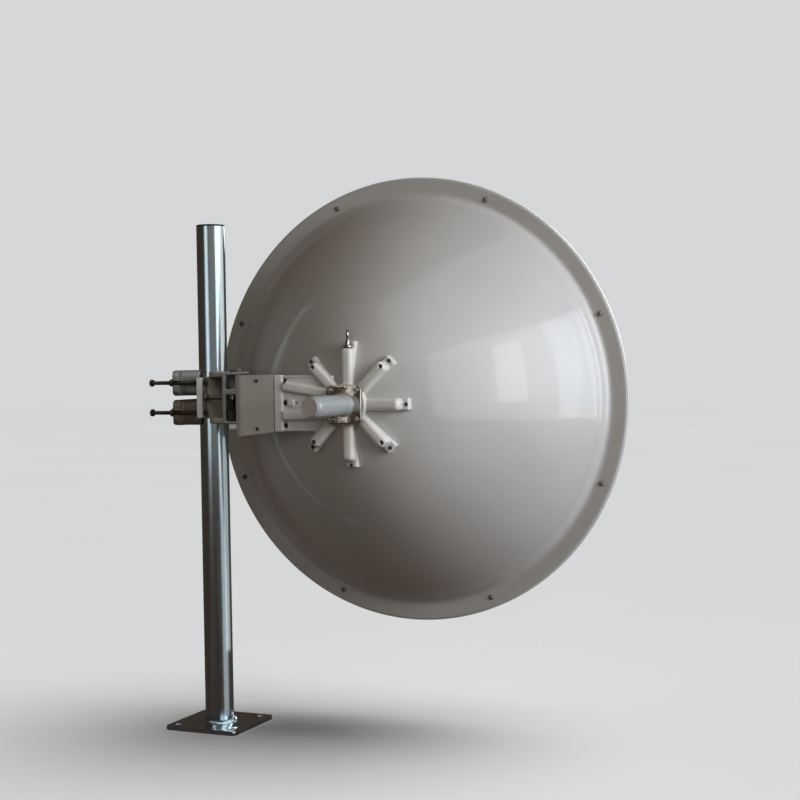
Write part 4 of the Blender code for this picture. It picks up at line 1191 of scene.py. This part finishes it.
class ANTENNA_OT_adjuster(bpy.types.Operator):
    """Model the short adjuster screw with its collar and its tall hexagon nut"""
    bl_idname = "antenna.adjuster"
    bl_label = "Adjuster"

    def execute(self, context):
        foot, top = LUG_LOW_TOP + GAP, RIB_LOW - GAP
        run = top - foot
        collar = lathe("adjuster_collar", [
            (0, run - 0.0089), (0.0045, run - 0.0089), (0.0055, run - 0.0082), (0.0055, run - 0.0062),
            (0.0049, run - 0.0056), (0.0049, run - 0.0046), (0.0055, run - 0.0040), (0.0055, run - 0.0008),
            (0.0048, run), (0, run)], 40)
        set_at(collar, at(ADJUSTER_X, ADJUSTER_Y, foot))
        fit_up(collar, "head", "bright_zinc", smooth=30)
        screw = threaded("adjuster_spindle", M8_RADIUS, mount().thread_pitch, 0, run - 0.009)
        set_at(screw, at(ADJUSTER_X, ADJUSTER_Y, foot))
        fit_up(screw, "head", "dark_steel", ["adjuster_screw"], smooth=30)
        tall = nut("adjuster_hexagon", M8_RADIUS, corner_radius=0.0098, thick=0.0207)
        set_at(tall, at(ADJUSTER_X, ADJUSTER_Y, foot) @ Matrix.Rotation(math.radians(22), 4, "Z"))
        fit_up(tall, "head", "dark_steel", ["adjuster_nut"], smooth=30)
        return {"FINISHED"}


# Mast and pole clamp

FOOT_HALF = 0.08
FOOT_THICK = 0.0080
ANCHOR_AT = 0.06
ANCHOR_HOLE = 0.0065
WELD_WAVES = 58
BAR_Y, BAR_LIFT = 0.040, 0.030
JAW_LEFT = -0.0676
JAW_LOW, JAW_HIGH = 0.0040, 0.0550
JAW_HALF, EAR_HALF = 0.0355, 0.0520
JAW_ROUND = 0.0155
BOLT_HEAD_X = -0.1171
BRACKET_NEAR, BRACKET_FAR = 0.0107, 0.0650
BRACKET_FRONT, BRACKET_REAR = -0.0560, 0.0280
RIB_INNER, RIB_OUTER = 0.0405, 0.0515


class ANTENNA_OT_mast(bpy.types.Operator):
    """Model the mast tube, its plug, and the foot plate with its weld and anchor holes"""
    bl_idname = "antenna.mast"
    bl_label = "Mast"

    def execute(self, context):
        radius, wall, top = mount().pole_radius, 0.0030, mount().pole_top
        low, edge = FOOT_THICK + GAP, 0.0006
        inner = radius - wall
        outside = [(radius, height) for height in (low + edge, 0.25, 0.50, 0.75, top - edge)]
        inside = [(inner, height) for _, height in outside[::-1]]
        tube = lathe("mast_tube", outside + [(radius - edge, top), (inner + edge, top)] + inside
                     + [(inner + edge, low), (radius - edge, low)], 96, closed=True)
        fit_up(tube, "mast", "galvanised_steel", ["pole"], smooth=30)
        snug = inner - GAP
        plug = lathe("mast_plug", [
            (0, top + 0.0023), (radius - 0.0062, top + 0.0023), (radius - 0.0050, top + 0.0030),
            (radius - 0.0008, top + 0.0030), (radius, top + 0.0022), (radius, top + 0.0009),
            (radius - 0.0005, top + GAP), (snug, top + GAP), (snug, top - 0.0030),
            (snug - 0.0007, top - 0.0038), (snug, top - 0.0046), (snug, top - 0.0070),
            (snug - 0.0007, top - 0.0078), (snug, top - 0.0086), (snug - 0.0010, top - 0.0150),
            (snug - 0.0030, top - 0.0150), (snug - 0.0030, top - 0.0010), (0, top - 0.0010)], 96)
        fit_up(plug, "mast", "black_plastic", ["pole_cap"], smooth=30)
        foot = rounded_block("mast_foot", (-FOOT_HALF, -FOOT_HALF, 0), (FOOT_HALF, FOOT_HALF, FOOT_THICK),
                             0.010, 8, axis=2)
        cut(foot, *[drum("anchor_hole", (x, y, -0.01), (x, y, 0.02), ANCHOR_HOLE, 32)
                    for x in (-ANCHOR_AT, ANCHOR_AT) for y in (-ANCHOR_AT, ANCHOR_AT)])
        soften(foot, 0.0008, 2, 40)
        start = (radius + 0.0001, 0.0078)
        bead = lathe("weld_bead", [start] + bend(start, 0.0062, 0, 90, 7), 240, closed=True)
        for corner in bead.data.vertices:
            out = Vector((corner.co.x, corner.co.y, 0))
            around = math.atan2(out.y, out.x)
            if out.length > radius + 0.001 and corner.co.z > 0.0085:
                ripple = 0.00030 * math.sin(WELD_WAVES * around + 1.4 * math.sin(5 * around))
                corner.co += (out.normalized() + Vector((0, 0, 1))) * ripple
        foot = gather("mast_foot", [foot, bead])
        fit_up(foot, "mast", "galvanised_steel", ["pole_foot"], smooth=35)
        return {"FINISHED"}


def pole_notch(side):
    """Cutter for the V that holds the pole. It opens to the left for side -1, and to the right for side 1."""
    apex = (mount().pole_radius + GAP) * math.sqrt(2)
    wide, far = 0.0300, 0.09
    knee = apex - wide
    return slab("pole_notch", [(-side * apex, 0), (-side * knee, -wide), (side * far, -wide),
                               (side * far, wide), (-side * knee, wide)], -0.07, 0.07)


class ANTENNA_OT_mast_bracket(bpy.types.Operator):
    """Model the cast bracket with its two ribs, the V web that meets the pole, and the upright plate"""
    bl_idname = "antenna.mast_bracket"
    bl_label = "Mast bracket"

    def execute(self, context):
        rib = [(BRACKET_NEAR, -JAW_HALF), (0.0320, BRACKET_FRONT), (BRACKET_FAR, BRACKET_FRONT),
               (BRACKET_FAR, BRACKET_REAR), (0.0420, BRACKET_REAR), (BRACKET_NEAR, JAW_HALF)]
        half = [(0.0035, JAW_HALF), (0.0122, JAW_HALF), (0.0420, 0.0057), (0.0580, 0.0057)]
        web = [(x, -y) for x, y in half] + half[::-1]
        shapes = [
            soften(slab("bracket_casting", rib, RIB_INNER, RIB_OUTER), 0.0015),
            soften(slab("lower_rib", rib, -RIB_OUTER, -RIB_INNER), 0.0015),
            rounded_block("upright_plate", (0.0570, BRACKET_FRONT, -0.0510),
                          (BRACKET_FAR, BRACKET_REAR, 0.0510), 0.0014),
            slab("v_web", web, -0.0415, 0.0415)]
        casting = cast("bracket_casting", shapes, 0.0011, 4)
        cut(casting,
            pole_notch(-1),
            drum("pivot_head_room", (0.0465, 0, 0), (0.0570, 0, 0), 0.0125, 40, axis=0),
            drum("bolt_hole", (0.05, ELEVATION_Y, 0), (0.08, ELEVATION_Y, 0), M8_HOLE, 32, axis=0),
            drum("pivot_hole", (0.05, 0, 0), (0.08, 0, 0), M12_HOLE, 32, axis=0))
        set_at(casting, AT_CLAMP)
        # The brown coat is painted shade with a painted warm reflection on the bracket's web.
        fit_up(casting, "clamp", "brown_casting", ["mast_bracket"], smooth=40)
        return {"FINISHED"}


class ANTENNA_OT_clamp_bars(bpy.types.Operator):
    """Model one light upright bar with its two bolt holes and copy it to the rear"""
    bl_idname = "antenna.clamp_bars"
    bl_label = "Clamp bars"

    def execute(self, context):
        first = rounded_block("first_bar", (-0.0106, -0.0500, -0.0402), (0.0032, -0.0300, 0.0402), 0.0030, 4,
                              axis=2)
        cut(first, *[drum("bar_hole", (-0.03, -BAR_Y, z), (0.02, -BAR_Y, z), M8_HOLE, 32, axis=0)
                     for z in (-BAR_LIFT, BAR_LIFT)])
        soften(first, 0.0010, 3, 40)
        for place, matrix in (("front", Matrix()), ("rear", Matrix.Translation((0, 2 * BAR_Y, 0)))):
            bar = copy_of(first, place + "_bar", AT_CLAMP @ matrix)
            fit_up(bar, "clamp", "light_coating", ["clamp_bar_" + place], smooth=35)
        bpy.data.objects.remove(first, do_unlink=True)
        return {"FINISHED"}


def jaw_cutters():
    """Cutters for the V, the core pocket, the bolts' ways and slots, and the teeth that grip the pole."""
    pocket = rounded_block("core_pocket", (-0.0615, -0.0200, JAW_HIGH - 0.007),
                           (-0.0470, 0.0200, JAW_HIGH + 0.01), 0.0030, 4)
    tools = [pole_notch(1), pocket]
    for side in (-1, 1):
        y = side * BAR_Y
        tools.append(drum("bolt_way", (-0.08, y, BAR_LIFT), (-0.03, y, BAR_LIFT), 0.0044, 32, axis=0))
        y_low, y_high = sorted((y, side * 0.062))
        tools.append(block("ear_slot", (-0.08, y_low, 0.0256), (-0.0505, y_high, 0.0344)))
    for i in range(-2, 3):
        reach = 0.0285 + i * 0.0034
        for side in (-1, 1):
            tooth = block("grip", (-0.0006, -0.0007, -0.06), (0.0007, 0.0007, 0.08))
            turn = Matrix.Rotation(math.radians(135 * side), 4, "Z")
            spot = Matrix.Translation((-0.0407 + reach * math.sqrt(0.5), side * reach * math.sqrt(0.5), 0))
            tools.append(set_at(tooth, spot @ turn))
    return tools


class ANTENNA_OT_clamp_jaws(bpy.types.Operator):
    """Model the upper V jaw with its ears, slots and core pocket, and turn a copy over for the lower one"""
    bl_idname = "antenna.clamp_jaws"
    bl_label = "Clamp jaws"

    def execute(self, context):
        body = rounded_block("first_jaw", (JAW_LEFT, -JAW_HALF, JAW_LOW), (-0.0120, JAW_HALF, JAW_HIGH),
                             JAW_ROUND, 8, axis=0)
        ears = rounded_block("ears", (-0.0673, -EAR_HALF, JAW_LOW), (-0.0515, EAR_HALF, JAW_HIGH),
                             JAW_ROUND, 8, axis=0)
        plan = rounded_block("ears_plan", (-0.0673, -EAR_HALF, JAW_LOW - 0.01),
                             (-0.0435, EAR_HALF, JAW_HIGH + 0.01), 0.0080, 8, axis=2)
        combine(ears, "INTERSECT", plan)
        jaw = cast("first_jaw", [soften(body, 0.0012, 2, 50), soften(ears, 0.0012, 2, 50)], 0.0011, 3)
        cut(jaw, *jaw_cutters())
        # The lower jaw takes the brown coat as painted shade, for it sits in the upper jaw's shade.
        for place, matrix, finish in (("upper", Matrix(), "grey_casting"), ("lower", DOWN, "brown_casting")):
            made = copy_of(jaw, place + "_jaw", AT_CLAMP @ matrix)
            fit_up(made, "clamp", finish, ["clamp_jaw_" + place], smooth=40)
        bpy.data.objects.remove(jaw, do_unlink=True)
        return {"FINISHED"}


class ANTENNA_OT_clamp_bolts(bpy.types.Operator):
    """Model one long clamp bolt and one nut with its washer, and copy them to the four corners"""
    bl_idname = "antenna.clamp_bolts"
    bl_label = "Clamp bolts"

    def execute(self, context):
        first = m8_bolt("first_bolt", 0.1258)
        held = washered_nut("first_nut")
        for depth, y in (("front", -BAR_Y), ("rear", BAR_Y)):
            for level, z, turn in (("upper", BAR_LIFT, 12), ("lower", -BAR_LIFT, 40)):
                spin = Matrix.Rotation(math.radians(turn), 4, "Z")
                label = depth + "_" + level
                long_bolt = copy_of(first, "long_bolt_" + label, at(BOLT_HEAD_X, y, z) @ TO_LEFT @ spin)
                fit_up(long_bolt, "clamp", "dark_steel", ["clamp_bolt_" + label], smooth=30)
                tight = copy_of(held, "jaw_nut_" + label, at(JAW_LEFT - GAP, y, z) @ TO_LEFT @ spin)
                fit_up(tight, "clamp", "dark_steel", ["clamp_nut_" + label], smooth=30)
        for master in (first, held):
            bpy.data.objects.remove(master, do_unlink=True)
        return {"FINISHED"}


class ANTENNA_OT_elevation_bolts(bpy.types.Operator):
    """Model the pivot bolt and the long bolt that holds the tilt, each with its nut"""
    bl_idname = "antenna.elevation_bolts"
    bl_label = "Elevation bolts"

    def execute(self, context):
        tilt = m8_bolt("tilt_bolt", 0.0719, plain=0.036)
        set_at(tilt, at(0.0141, ELEVATION_Y, 0) @ TO_LEFT)
        fit_up(tilt, "clamp", "aged_zinc", ["elevation_bolt"], smooth=30)
        held = washered_nut("tilt_nut")
        set_at(held, at(SWIVEL_RIGHT + GAP, ELEVATION_Y, 0) @ TO_RIGHT)
        fit_up(held, "clamp", "aged_zinc", ["elevation_nut"], smooth=30)
        pivot = bolt("pivot_bolt", M12_RADIUS, M12_PITCH, M12_HEAD_RADIUS, M12_HEAD_THICK, 0.0293,
                     plain=0.018)
        set_at(pivot, at(0.0570 - GAP, 0, 0) @ TO_LEFT)
        fit_up(pivot, "clamp", "bright_zinc", ["elevation_pivot"], smooth=30)
        held = nut("pivot_nut", M12_RADIUS, M12_HEAD_RADIUS, M12_HEAD_THICK)
        set_at(held, at(SWIVEL_RIGHT + GAP, 0, 0) @ TO_RIGHT)
        fit_up(held, "clamp", "bright_zinc", ["elevation_pivot_nut"], smooth=30)
        return {"FINISHED"}


# Stage

class ANTENNA_PG_stage(bpy.types.PropertyGroup):
    backdrop: bpy.props.FloatProperty(name="Backdrop", default=0.72, min=0.0, max=2.0,
                                      description="Brightness of the backdrop that the camera sees")
    daylight: bpy.props.FloatProperty(name="Daylight", default=2.85, min=0.0, max=20.0,
                                      description="Soft light that reaches the floor alone")
    fill: bpy.props.FloatProperty(name="Fill", default=0.065, min=0.0, max=2.0,
                                  description="Brightness of the room's own light")
    floor_size: length("Floor size", "Side of the floor", 40.0)


CAMERA_PLACE = (1.6179, -2.6966, 0.7335)
CAMERA_TURN = (88.481, 0.923, 24.089)
CAMERA_LENS = 69.77
SENSOR_WIDTH = 36.0
BACKDROP_COLOUR = (0.93, 0.94, 0.95, 1.0)
FILL_COLOUR = (1.0, 0.687, 0.519, 1.0)
DAYLIGHT_COLOUR = (0.99, 0.995, 1.0)
DAYLIGHT_SPREAD = 60
DAYLIGHT_TURN = (-14, 22, 0)
ROOM_AIM = (0.35, 0.0, 0.65)
# The soft lights by the group of pieces that they reach. Each has its name, its place, where it aims,
# its width and height, whether it lights matt surfaces, shows in gloss or does both, its watts and colour.
SOFTBOXES = {
    "object": (
        ("key_right", (4.345, -0.705, 1.737), ROOM_AIM, (2.4, 2.4), "matt", 140.3, (0.99, 0.994, 1.0)),
        ("key_front", (1.413, -3.968, 1.523), ROOM_AIM, (2.4, 2.4), "matt", 13.1, (0.944, 1.0, 0.986)),
        ("key_left", (-2.575, -2.925, 1.379), ROOM_AIM, (2.4, 2.4), "matt", 7.8, (0.839, 1.0, 0.94)),
        ("key_top", (1.016, -0.793, 4.514), ROOM_AIM, (2.4, 2.4), "matt", 6.8, (1.0, 0.862, 0.622)),
        ("room_back", (1.30, 4.00, 2.20), ROOM_AIM, (3.0, 2.4), "both", 90.0, (1.0, 0.99, 0.97)),
    ),
    "dish": (
        ("window", (3.30, 0.10, 1.25), (0.65, 0.08, 0.72), (0.85, 1.9), "matt", 16.3, (0.243, 0.533, 1.0)),
        ("pane_right", (3.70, 0.06, 1.60), (0.70, 0.05, 1.60), (0.72, 2.6), "gloss", 17.0, (0.84, 0.92, 1.0)),
        ("pane_low", (3.70, 0.06, 0.22), (0.70, 0.05, 0.22), (0.72, 0.16), "gloss", 1.4, (1.0, 0.86, 0.66)),
        ("pane_left", (3.40, -1.09, 1.50), (0.62, 0.0, 1.50), (0.60, 1.9), "gloss", 9.5, (0.86, 0.93, 1.0)),
        ("sheen_right", (3.977, -1.929, 1.523), ROOM_AIM, (4.5, 3.6), "gloss", 77.0, (0.941, 0.971, 1.0)),
        ("sheen_top", (2.196, -1.549, 4.091), ROOM_AIM, (5.4, 4.4), "gloss", 52.0, (0.851, 0.888, 1.0)),
    ),
    "pole": (
        ("pole_edge", (3.498, 0.122, 1.30), (0.0, 0.0, 1.30), (4.0, 2.0), "gloss", 50.0, (0.97, 1.0, 0.99)),
        ("pole_low", (3.498, 0.122, -0.45), (0.0, 0.0, -0.45), (3.0, 1.5), "gloss", 6.0, (0.97, 1.0, 0.99)),
        ("pole_line", (-0.548, -3.457, 1.35), (0.0, 0.0, 1.35), (1.6, 2.0), "gloss", 12.0, (0.9, 0.98, 1.0)),
        ("pole_middle", (1.906, -2.935, 1.30), (0.0, 0.0, 1.3), (3.2, 2.0), "gloss", 4.2, (1.0, 1.0, 0.97)),
        ("pole_gap", (0.0846, 0.0308, 0.89), (0.0, 0.0, 0.89), (0.07, 0.46), "gloss", 0.09,
         (1.0, 0.98, 0.95)),
        ("pole_base", (0.0846, 0.0308, 0.36), (0.0, 0.0, 0.36), (0.07, 0.44), "gloss", 0.05,
         (1.0, 0.98, 0.95)),
    ),
    "hub": (
        ("hub_light", (3.265, -2.446, 2.425), ROOM_AIM, (2.4, 2.0), "both", 44.0, (1.0, 0.99, 0.98)),
    ),
    "clamp": (
        ("clamp_light", (-0.47, -2.65, 3.87), (0.05, 0.0, 0.66), (2.0, 2.0), "both", 60.0, (0.86, 0.95, 1.0)),
    ),
    "plate": (
        ("plate_line", (-1.30, -3.40, 1.10), ROOM_AIM, (0.35, 2.6), "gloss", 2.6, (1.0, 0.98, 0.94)),
        ("plate_side", (-2.90, -2.30, 0.90), ROOM_AIM, (0.50, 2.6), "gloss", 1.6, (1.0, 0.98, 0.94)),
    ),
}


def riders(*starts):
    """The pieces whose names begin in one of these ways."""
    return [obj for obj in bpy.data.objects if obj.type == "MESH" and obj.name.startswith(starts)]


def in_clamp(obj):
    """True for a small piece beside the pole, left of the arm plate."""
    points = [obj.matrix_world @ Vector(corner) for corner in obj.bound_box]
    return (max(point.x for point in points) < 0.17 and min(point.z for point in points) > 0.50
            and max(point.z for point in points) < 0.80)


def light_group(name, objects, state="INCLUDE"):
    """A collection that says which objects a light reaches, or which ones it leaves out."""
    made = bpy.data.collections.new(name)
    for obj in objects:
        made.objects.link(obj)
    for member in made.collection_objects:
        member.light_linking.link_state = state
    return made


def lay_floor(size):
    """A pale plane that takes shadows, and that neither lights the object nor shows in its gloss."""
    bpy.ops.mesh.primitive_plane_add(size=size)
    floor = named("floor")
    floor.data.materials.append(FINISHES["stage"]())
    floor.visible_diffuse = floor.visible_glossy = False
    return floor


def light_groups(floor):
    """The groups of pieces that the lights reach."""
    pole = bpy.data.objects["mast_tube"]
    clamp = [obj for obj in riders("") if in_clamp(obj) and obj.name != "lower_jaw"]
    return {
        "object": light_group("all but the floor", [floor], "EXCLUDE"),
        "dish": light_group("all but the floor and the pole", [floor, pole], "EXCLUDE"),
        "floor": light_group("the floor alone", [floor]),
        "pole": light_group("the pole alone", [pole]),
        "hub": light_group("the hub casting alone", riders("hub", "pad_screw", "bore_screw", "eye")),
        "plate": light_group("the feed plate alone", riders("feed_base", "feed_screw")),
        "clamp": light_group("the pole clamp alone", clamp),
    }


def hang_daylight(strength, receivers):
    """A wide soft sun that gives the object its shadow on the floor."""
    bpy.ops.object.light_add(type="SUN", location=(0.0, 0.0, 4.0))
    daylight = named("daylight")
    daylight.data.energy = strength
    daylight.data.angle = math.radians(DAYLIGHT_SPREAD)
    daylight.data.color = DAYLIGHT_COLOUR
    daylight.rotation_euler = [math.radians(turn) for turn in DAYLIGHT_TURN]
    daylight.light_linking.receiver_collection = receivers


def hang_softbox(name, place, aim, size, kind, watts, colour, receivers):
    """A rectangular light that reaches only some pieces."""
    bpy.ops.object.light_add(type="AREA", location=place)
    lamp = named(name)
    lamp.data.shape = "RECTANGLE"
    lamp.data.size, lamp.data.size_y = size
    lamp.data.energy = watts
    lamp.data.color = colour
    lamp.rotation_euler = (Vector(aim) - Vector(place)).to_track_quat("-Z", "Y").to_euler()
    lamp.visible_diffuse = kind in ("matt", "both")
    lamp.visible_glossy = kind in ("gloss", "both")
    lamp.visible_camera = False
    lamp.light_linking.receiver_collection = receivers
    return lamp


def set_camera(scene):
    """The camera at the photograph's viewing angle."""
    bpy.ops.object.camera_add(location=CAMERA_PLACE, rotation=[math.radians(turn) for turn in CAMERA_TURN])
    camera = named("camera")
    camera.data.lens = CAMERA_LENS
    camera.data.sensor_width = SENSOR_WIDTH
    camera.data.clip_end = 200.0
    scene.camera = camera


def set_world(scene, backdrop, fill):
    """A pale backdrop that only the camera sees, and a dim warm room for all the rest."""
    world = scene.world or bpy.data.worlds.new("world")
    scene.world = world
    world.use_nodes = True
    tree = world.node_tree
    tree.nodes.clear()
    seen = tree.nodes.new("ShaderNodeLightPath").outputs["Is Camera Ray"]
    shown = tree.nodes.new("ShaderNodeBackground")
    shown.inputs["Color"].default_value = BACKDROP_COLOUR
    shown.inputs["Strength"].default_value = backdrop
    room = tree.nodes.new("ShaderNodeBackground")
    room.inputs["Color"].default_value = FILL_COLOUR
    room.inputs["Strength"].default_value = fill
    mixed = tree.nodes.new("ShaderNodeMixShader")
    out = tree.nodes.new("ShaderNodeOutputWorld")
    tree.links.new(seen, mixed.inputs["Fac"])
    tree.links.new(room.outputs["Background"], mixed.inputs[1])
    tree.links.new(shown.outputs["Background"], mixed.inputs[2])
    tree.links.new(mixed.outputs["Shader"], out.inputs["Surface"])


class ANTENNA_OT_stage(bpy.types.Operator):
    """Set up the pale floor, the soft lights and the camera"""
    bl_idname = "antenna.stage"
    bl_label = "Stage"

    def execute(self, context):
        scene = context.scene
        stage = scene.antenna_stage
        put_down()
        floor = lay_floor(stage.floor_size)
        reached = light_groups(floor)
        hang_daylight(stage.daylight, reached["floor"])
        for group, lamps in SOFTBOXES.items():
            for lamp in lamps:
                hung = hang_softbox(*lamp, reached[group])
                if group == "pole":
                    hung.light_linking.blocker_collection = reached[group]
        set_camera(scene)
        set_world(scene, stage.backdrop, stage.fill)
        scene.view_settings.view_transform = "Standard"
        put_down()
        return {"FINISHED"}


# Panel and start

STEPS = (
    ANTENNA_OT_reflector, ANTENNA_OT_rim_screws, ANTENNA_OT_radome, ANTENNA_OT_hub_casting,
    ANTENNA_OT_hub_screws, ANTENNA_OT_feed, ANTENNA_OT_lifting_eye, ANTENNA_OT_arm_plate,
    ANTENNA_OT_swivel_bracket, ANTENNA_OT_hinge, ANTENNA_OT_adjuster, ANTENNA_OT_mast,
    ANTENNA_OT_mast_bracket, ANTENNA_OT_clamp_bars, ANTENNA_OT_clamp_jaws, ANTENNA_OT_clamp_bolts,
    ANTENNA_OT_elevation_bolts, ANTENNA_OT_stage,
)


class ANTENNA_PT_panel(bpy.types.Panel):
    """List the antenna's sizes, colours and pieces"""
    bl_idname = "ANTENNA_PT_panel"
    bl_label = "Dish antenna"
    bl_space_type = "VIEW_3D"
    bl_region_type = "UI"
    bl_category = "Antenna"

    def draw(self, context):
        column = self.layout.column()
        for group in GROUPS:
            settings = getattr(context.scene, group)
            for name in settings.bl_rna.properties.keys():
                if name not in ("rna_type", "name"):
                    column.prop(settings, name)
        for step in STEPS:
            column.operator(step.bl_idname, text=step.bl_label)


GROUPS = {
    "antenna_dish": ANTENNA_PG_dish,
    "antenna_mount": ANTENNA_PG_mount,
    "antenna_looks": ANTENNA_PG_looks,
    "antenna_stage": ANTENNA_PG_stage,
}


def register():
    for group, kind in GROUPS.items():
        bpy.utils.register_class(kind)
        setattr(bpy.types.Scene, group, bpy.props.PointerProperty(type=kind))
    for kind in (*STEPS, ANTENNA_PT_panel):
        bpy.utils.register_class(kind)


def unregister():
    for kind in (ANTENNA_PT_panel, *reversed(STEPS)):
        bpy.utils.unregister_class(kind)
    for group, kind in GROUPS.items():
        delattr(bpy.types.Scene, group)
        bpy.utils.unregister_class(kind)


def main():
    """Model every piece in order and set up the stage."""
    register()
    put_down()
    for step in STEPS:
        group, name = step.bl_idname.split(".")
        getattr(getattr(bpy.ops, group), name)()


if __name__ == "__main__":
    main()
